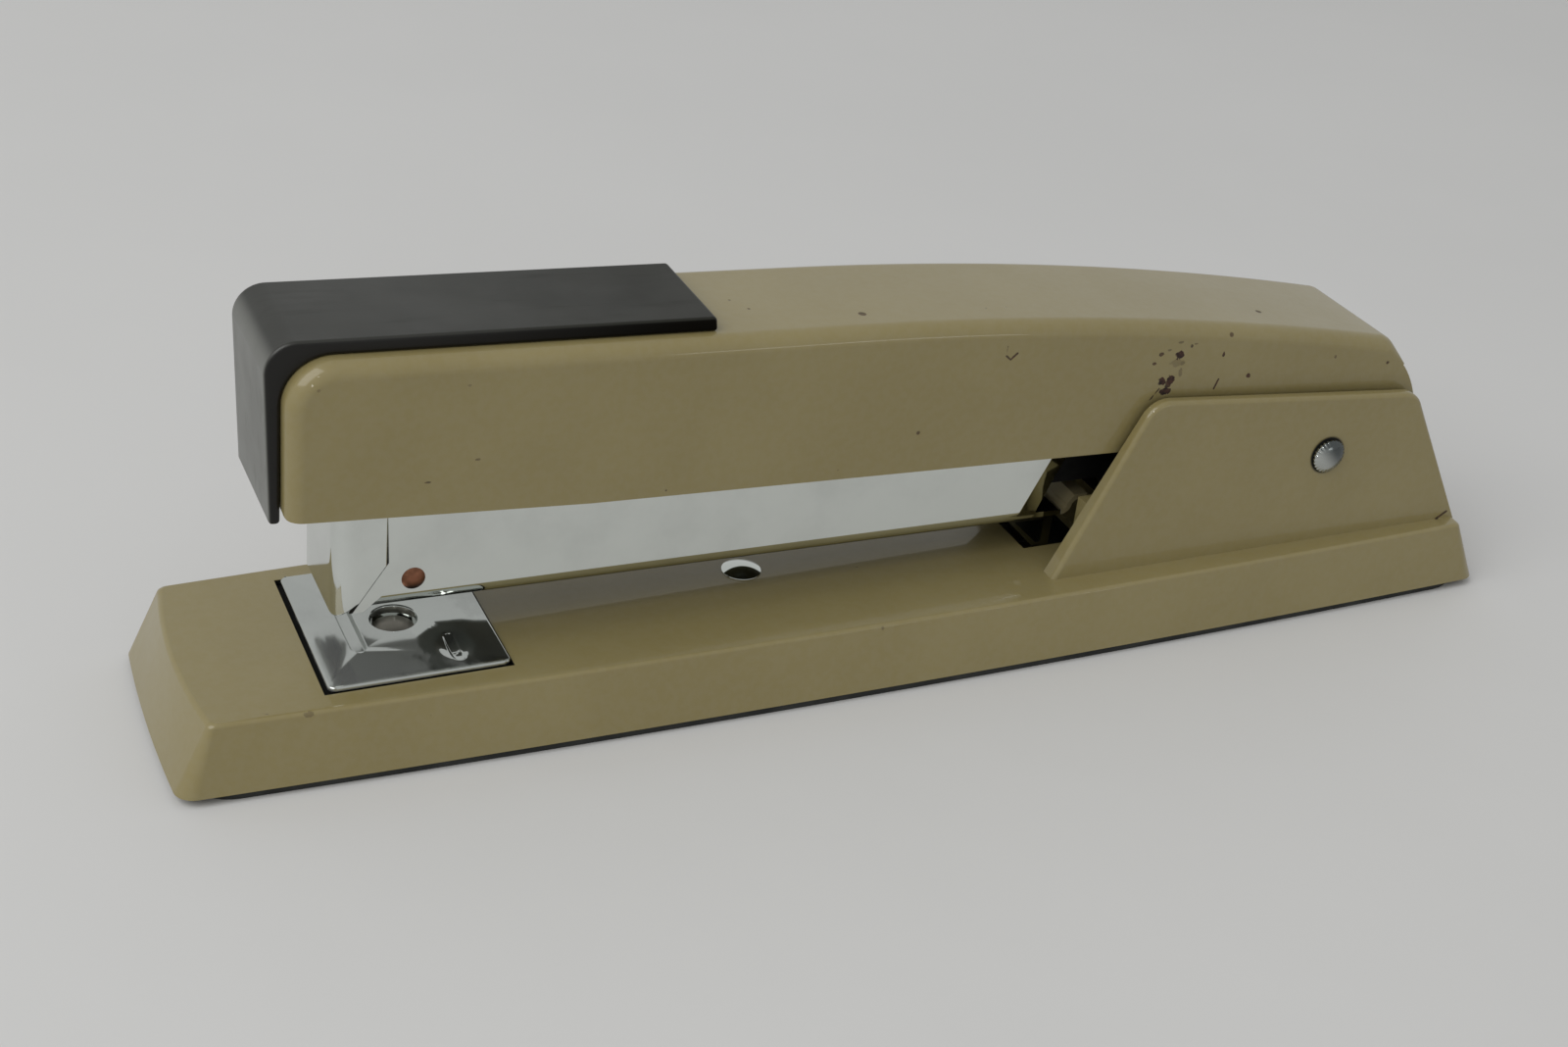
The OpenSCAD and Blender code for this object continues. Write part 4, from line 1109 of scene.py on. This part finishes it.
def makeCoil(name, spring):
    # a helix about Z whose first and last turns lie flat
    wire, steps, flat = spring["wire"], spring["steps"], springs["flatTurns"]
    rings = []
    for i in range(spring["turns"] * steps + 1):
        a = 2 * pi * i / steps
        share = max(0.0, min(1.0, (i / steps - flat) / (spring["turns"] - 2 * flat)))
        z = wire + (spring["end"] - spring["start"] - 2 * wire) * share
        rings.append([(r * cos(a), r * sin(a), h) for r, h in circle(wire, spring["radius"], z, 8)])
    coil = loft(name, rings)
    softShade(coil, 60)
    return coil


def makeSprings():
    p, slide = springs["pusher"], joints["pusher_slide"]
    coil = place(makeCoil("pusherSpring", p), moved(p["start"], 0, p["z"]) @ turned(90, "Y"))
    tiltNoseUp(coil, magazine["tilt"])
    finishPiece(coil, "magazine", springSteel, "pusher_spring")
    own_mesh(coil)
    a, lift = springs["anvil"], joints["anvil_lift"]
    coil = place(makeCoil("anvilSpring", a), moved(anvil["x"], 0, a["start"]))
    finishPiece(coil, "base", springSteel, "anvil_spring")
    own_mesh(coil)


makeSprings()

# the CAD's own parts keep their shape and get their finishes
nodeFinishes = [
    (partSteel, ("ear_washers", "hinge_spacers", "staple_rail", "lug_rivet", "pusher_rod", "staple_pusher",
                 "driver_blade", "driver_rivets")),
    (springSteel, ("base_leaf_spring", "cap_clips", "driver_spring")),
    (rubberFinish, ("rubber_foot",)), (buttonSteel, ("anvil_button",)), (armShadedBlack, ("magazine_arms",)),
    (lugShadedSteel, ("magazine_lug",)),
]
for finish, nodeNames in nodeFinishes:
    for nodeName in nodeNames:
        paint(frame["nodes"][nodeName], finish)
print("stapler: springs and CAD parts finished")


# floor, lamps and camera

studio = {
    "floorColour": (0.62, 0.62, 0.61), "worldLight": 0.50, "worldSeen": (0.58, 0.59, 0.585),
    "floorReach": 4.0, "aim": (0.0, 0.0, 0.02),
    "lamps": [  # place in metres, width, height, power: a softbox, then three that make the glints
        ((-0.78, -0.26, 0.95), 1.0, 1.0, 8.4),
        ((-0.42, -0.805, 0.784), 0.04, 0.04, 0.32),
        ((-0.49, -1.16, 0.319), 0.04, 0.04, 0.32),
        ((0.643, -1.23, 0.183), 0.30, 0.10, 0.3),
    ],
}
view = {
    "azimuth": -26.78, "elevation": 29.67, "roll": 6.0, "distance": 0.30321,
    "target": (-0.01238, 0.0, 0.01707), "lens": 51.0,
}


def makeFloor():
    reach = studio["floorReach"] / mm
    corners = [(-reach, -reach, 0), (reach, -reach, 0), (reach, reach, 0), (-reach, reach, 0)]
    floor = makePiece("floor", corners, [(0, 1, 2, 3)], closed=False)
    s, light = Shader("paperFloor"), studio["floorColour"]
    colour = s.mix(s.patches(9, 4, 0.35, 0.65), tuple(c * 0.985 for c in light), light)
    normal = s.bump(s.noise(14, 3), 0.25, 0.002)
    paint(floor, s.finish(colour=colour, roughness=0.6, specular=0.25, normal=normal))


def areaLamp(name, location, width, height, power):
    lamp = bpy.data.lights.new(name, "AREA")
    lamp.shape = "RECTANGLE"
    lamp.size, lamp.size_y, lamp.energy = width, height, power
    thing = addObject(name, lamp)
    thing.location = location
    thing.rotation_mode = "QUATERNION"
    thing.rotation_quaternion = (Vector(studio["aim"]) - thing.location).to_track_quat("-Z", "Y")


def makeStudio():
    for name, lamp in zip(("softbox", "glint1", "glint2", "glint3"), studio["lamps"]):
        areaLamp(name, *lamp)
    # one grey lights the scene, another is seen by the camera and in reflections
    scene.world = bpy.data.worlds.new("studio")
    scene.world.use_nodes = True
    tree = scene.world.node_tree
    path, seen, pick = [tree.nodes.new("ShaderNode" + kind) for kind in ("LightPath", "Math", "Mix")]
    seen.operation, pick.data_type = "MAXIMUM", "RGBA"
    pick.inputs["A"].default_value = (*[studio["worldLight"]] * 3, 1.0)
    pick.inputs["B"].default_value = (*studio["worldSeen"], 1.0)
    tree.links.new(path.outputs["Is Camera Ray"], seen.inputs[0])
    tree.links.new(path.outputs["Is Glossy Ray"], seen.inputs[1])
    tree.links.new(seen.outputs[0], pick.inputs["Factor"])
    tree.links.new(pick.outputs["Result"], tree.nodes["Background"].inputs["Color"])


def makeCamera():
    a, e = radians(view["azimuth"]), radians(view["elevation"])
    back = Vector((sin(a) * cos(e), -cos(a) * cos(e), sin(e)))
    lens = bpy.data.cameras.new("camera")
    lens.lens, lens.sensor_width = view["lens"], 36.0
    lens.clip_start, lens.clip_end = 0.01, 20.0
    camera = addObject("camera", lens)
    camera.location = Vector(view["target"]) + back * view["distance"]
    camera.rotation_mode = "QUATERNION"
    level = (-back).to_track_quat("-Z", "Y")
    camera.rotation_quaternion = level @ Quaternion((0, 0, 1), radians(view["roll"]))
    scene.camera = camera


makeFloor()
makeStudio()
makeCamera()
scene.view_settings.view_transform = "Standard"
print("stapler: studio and camera made")
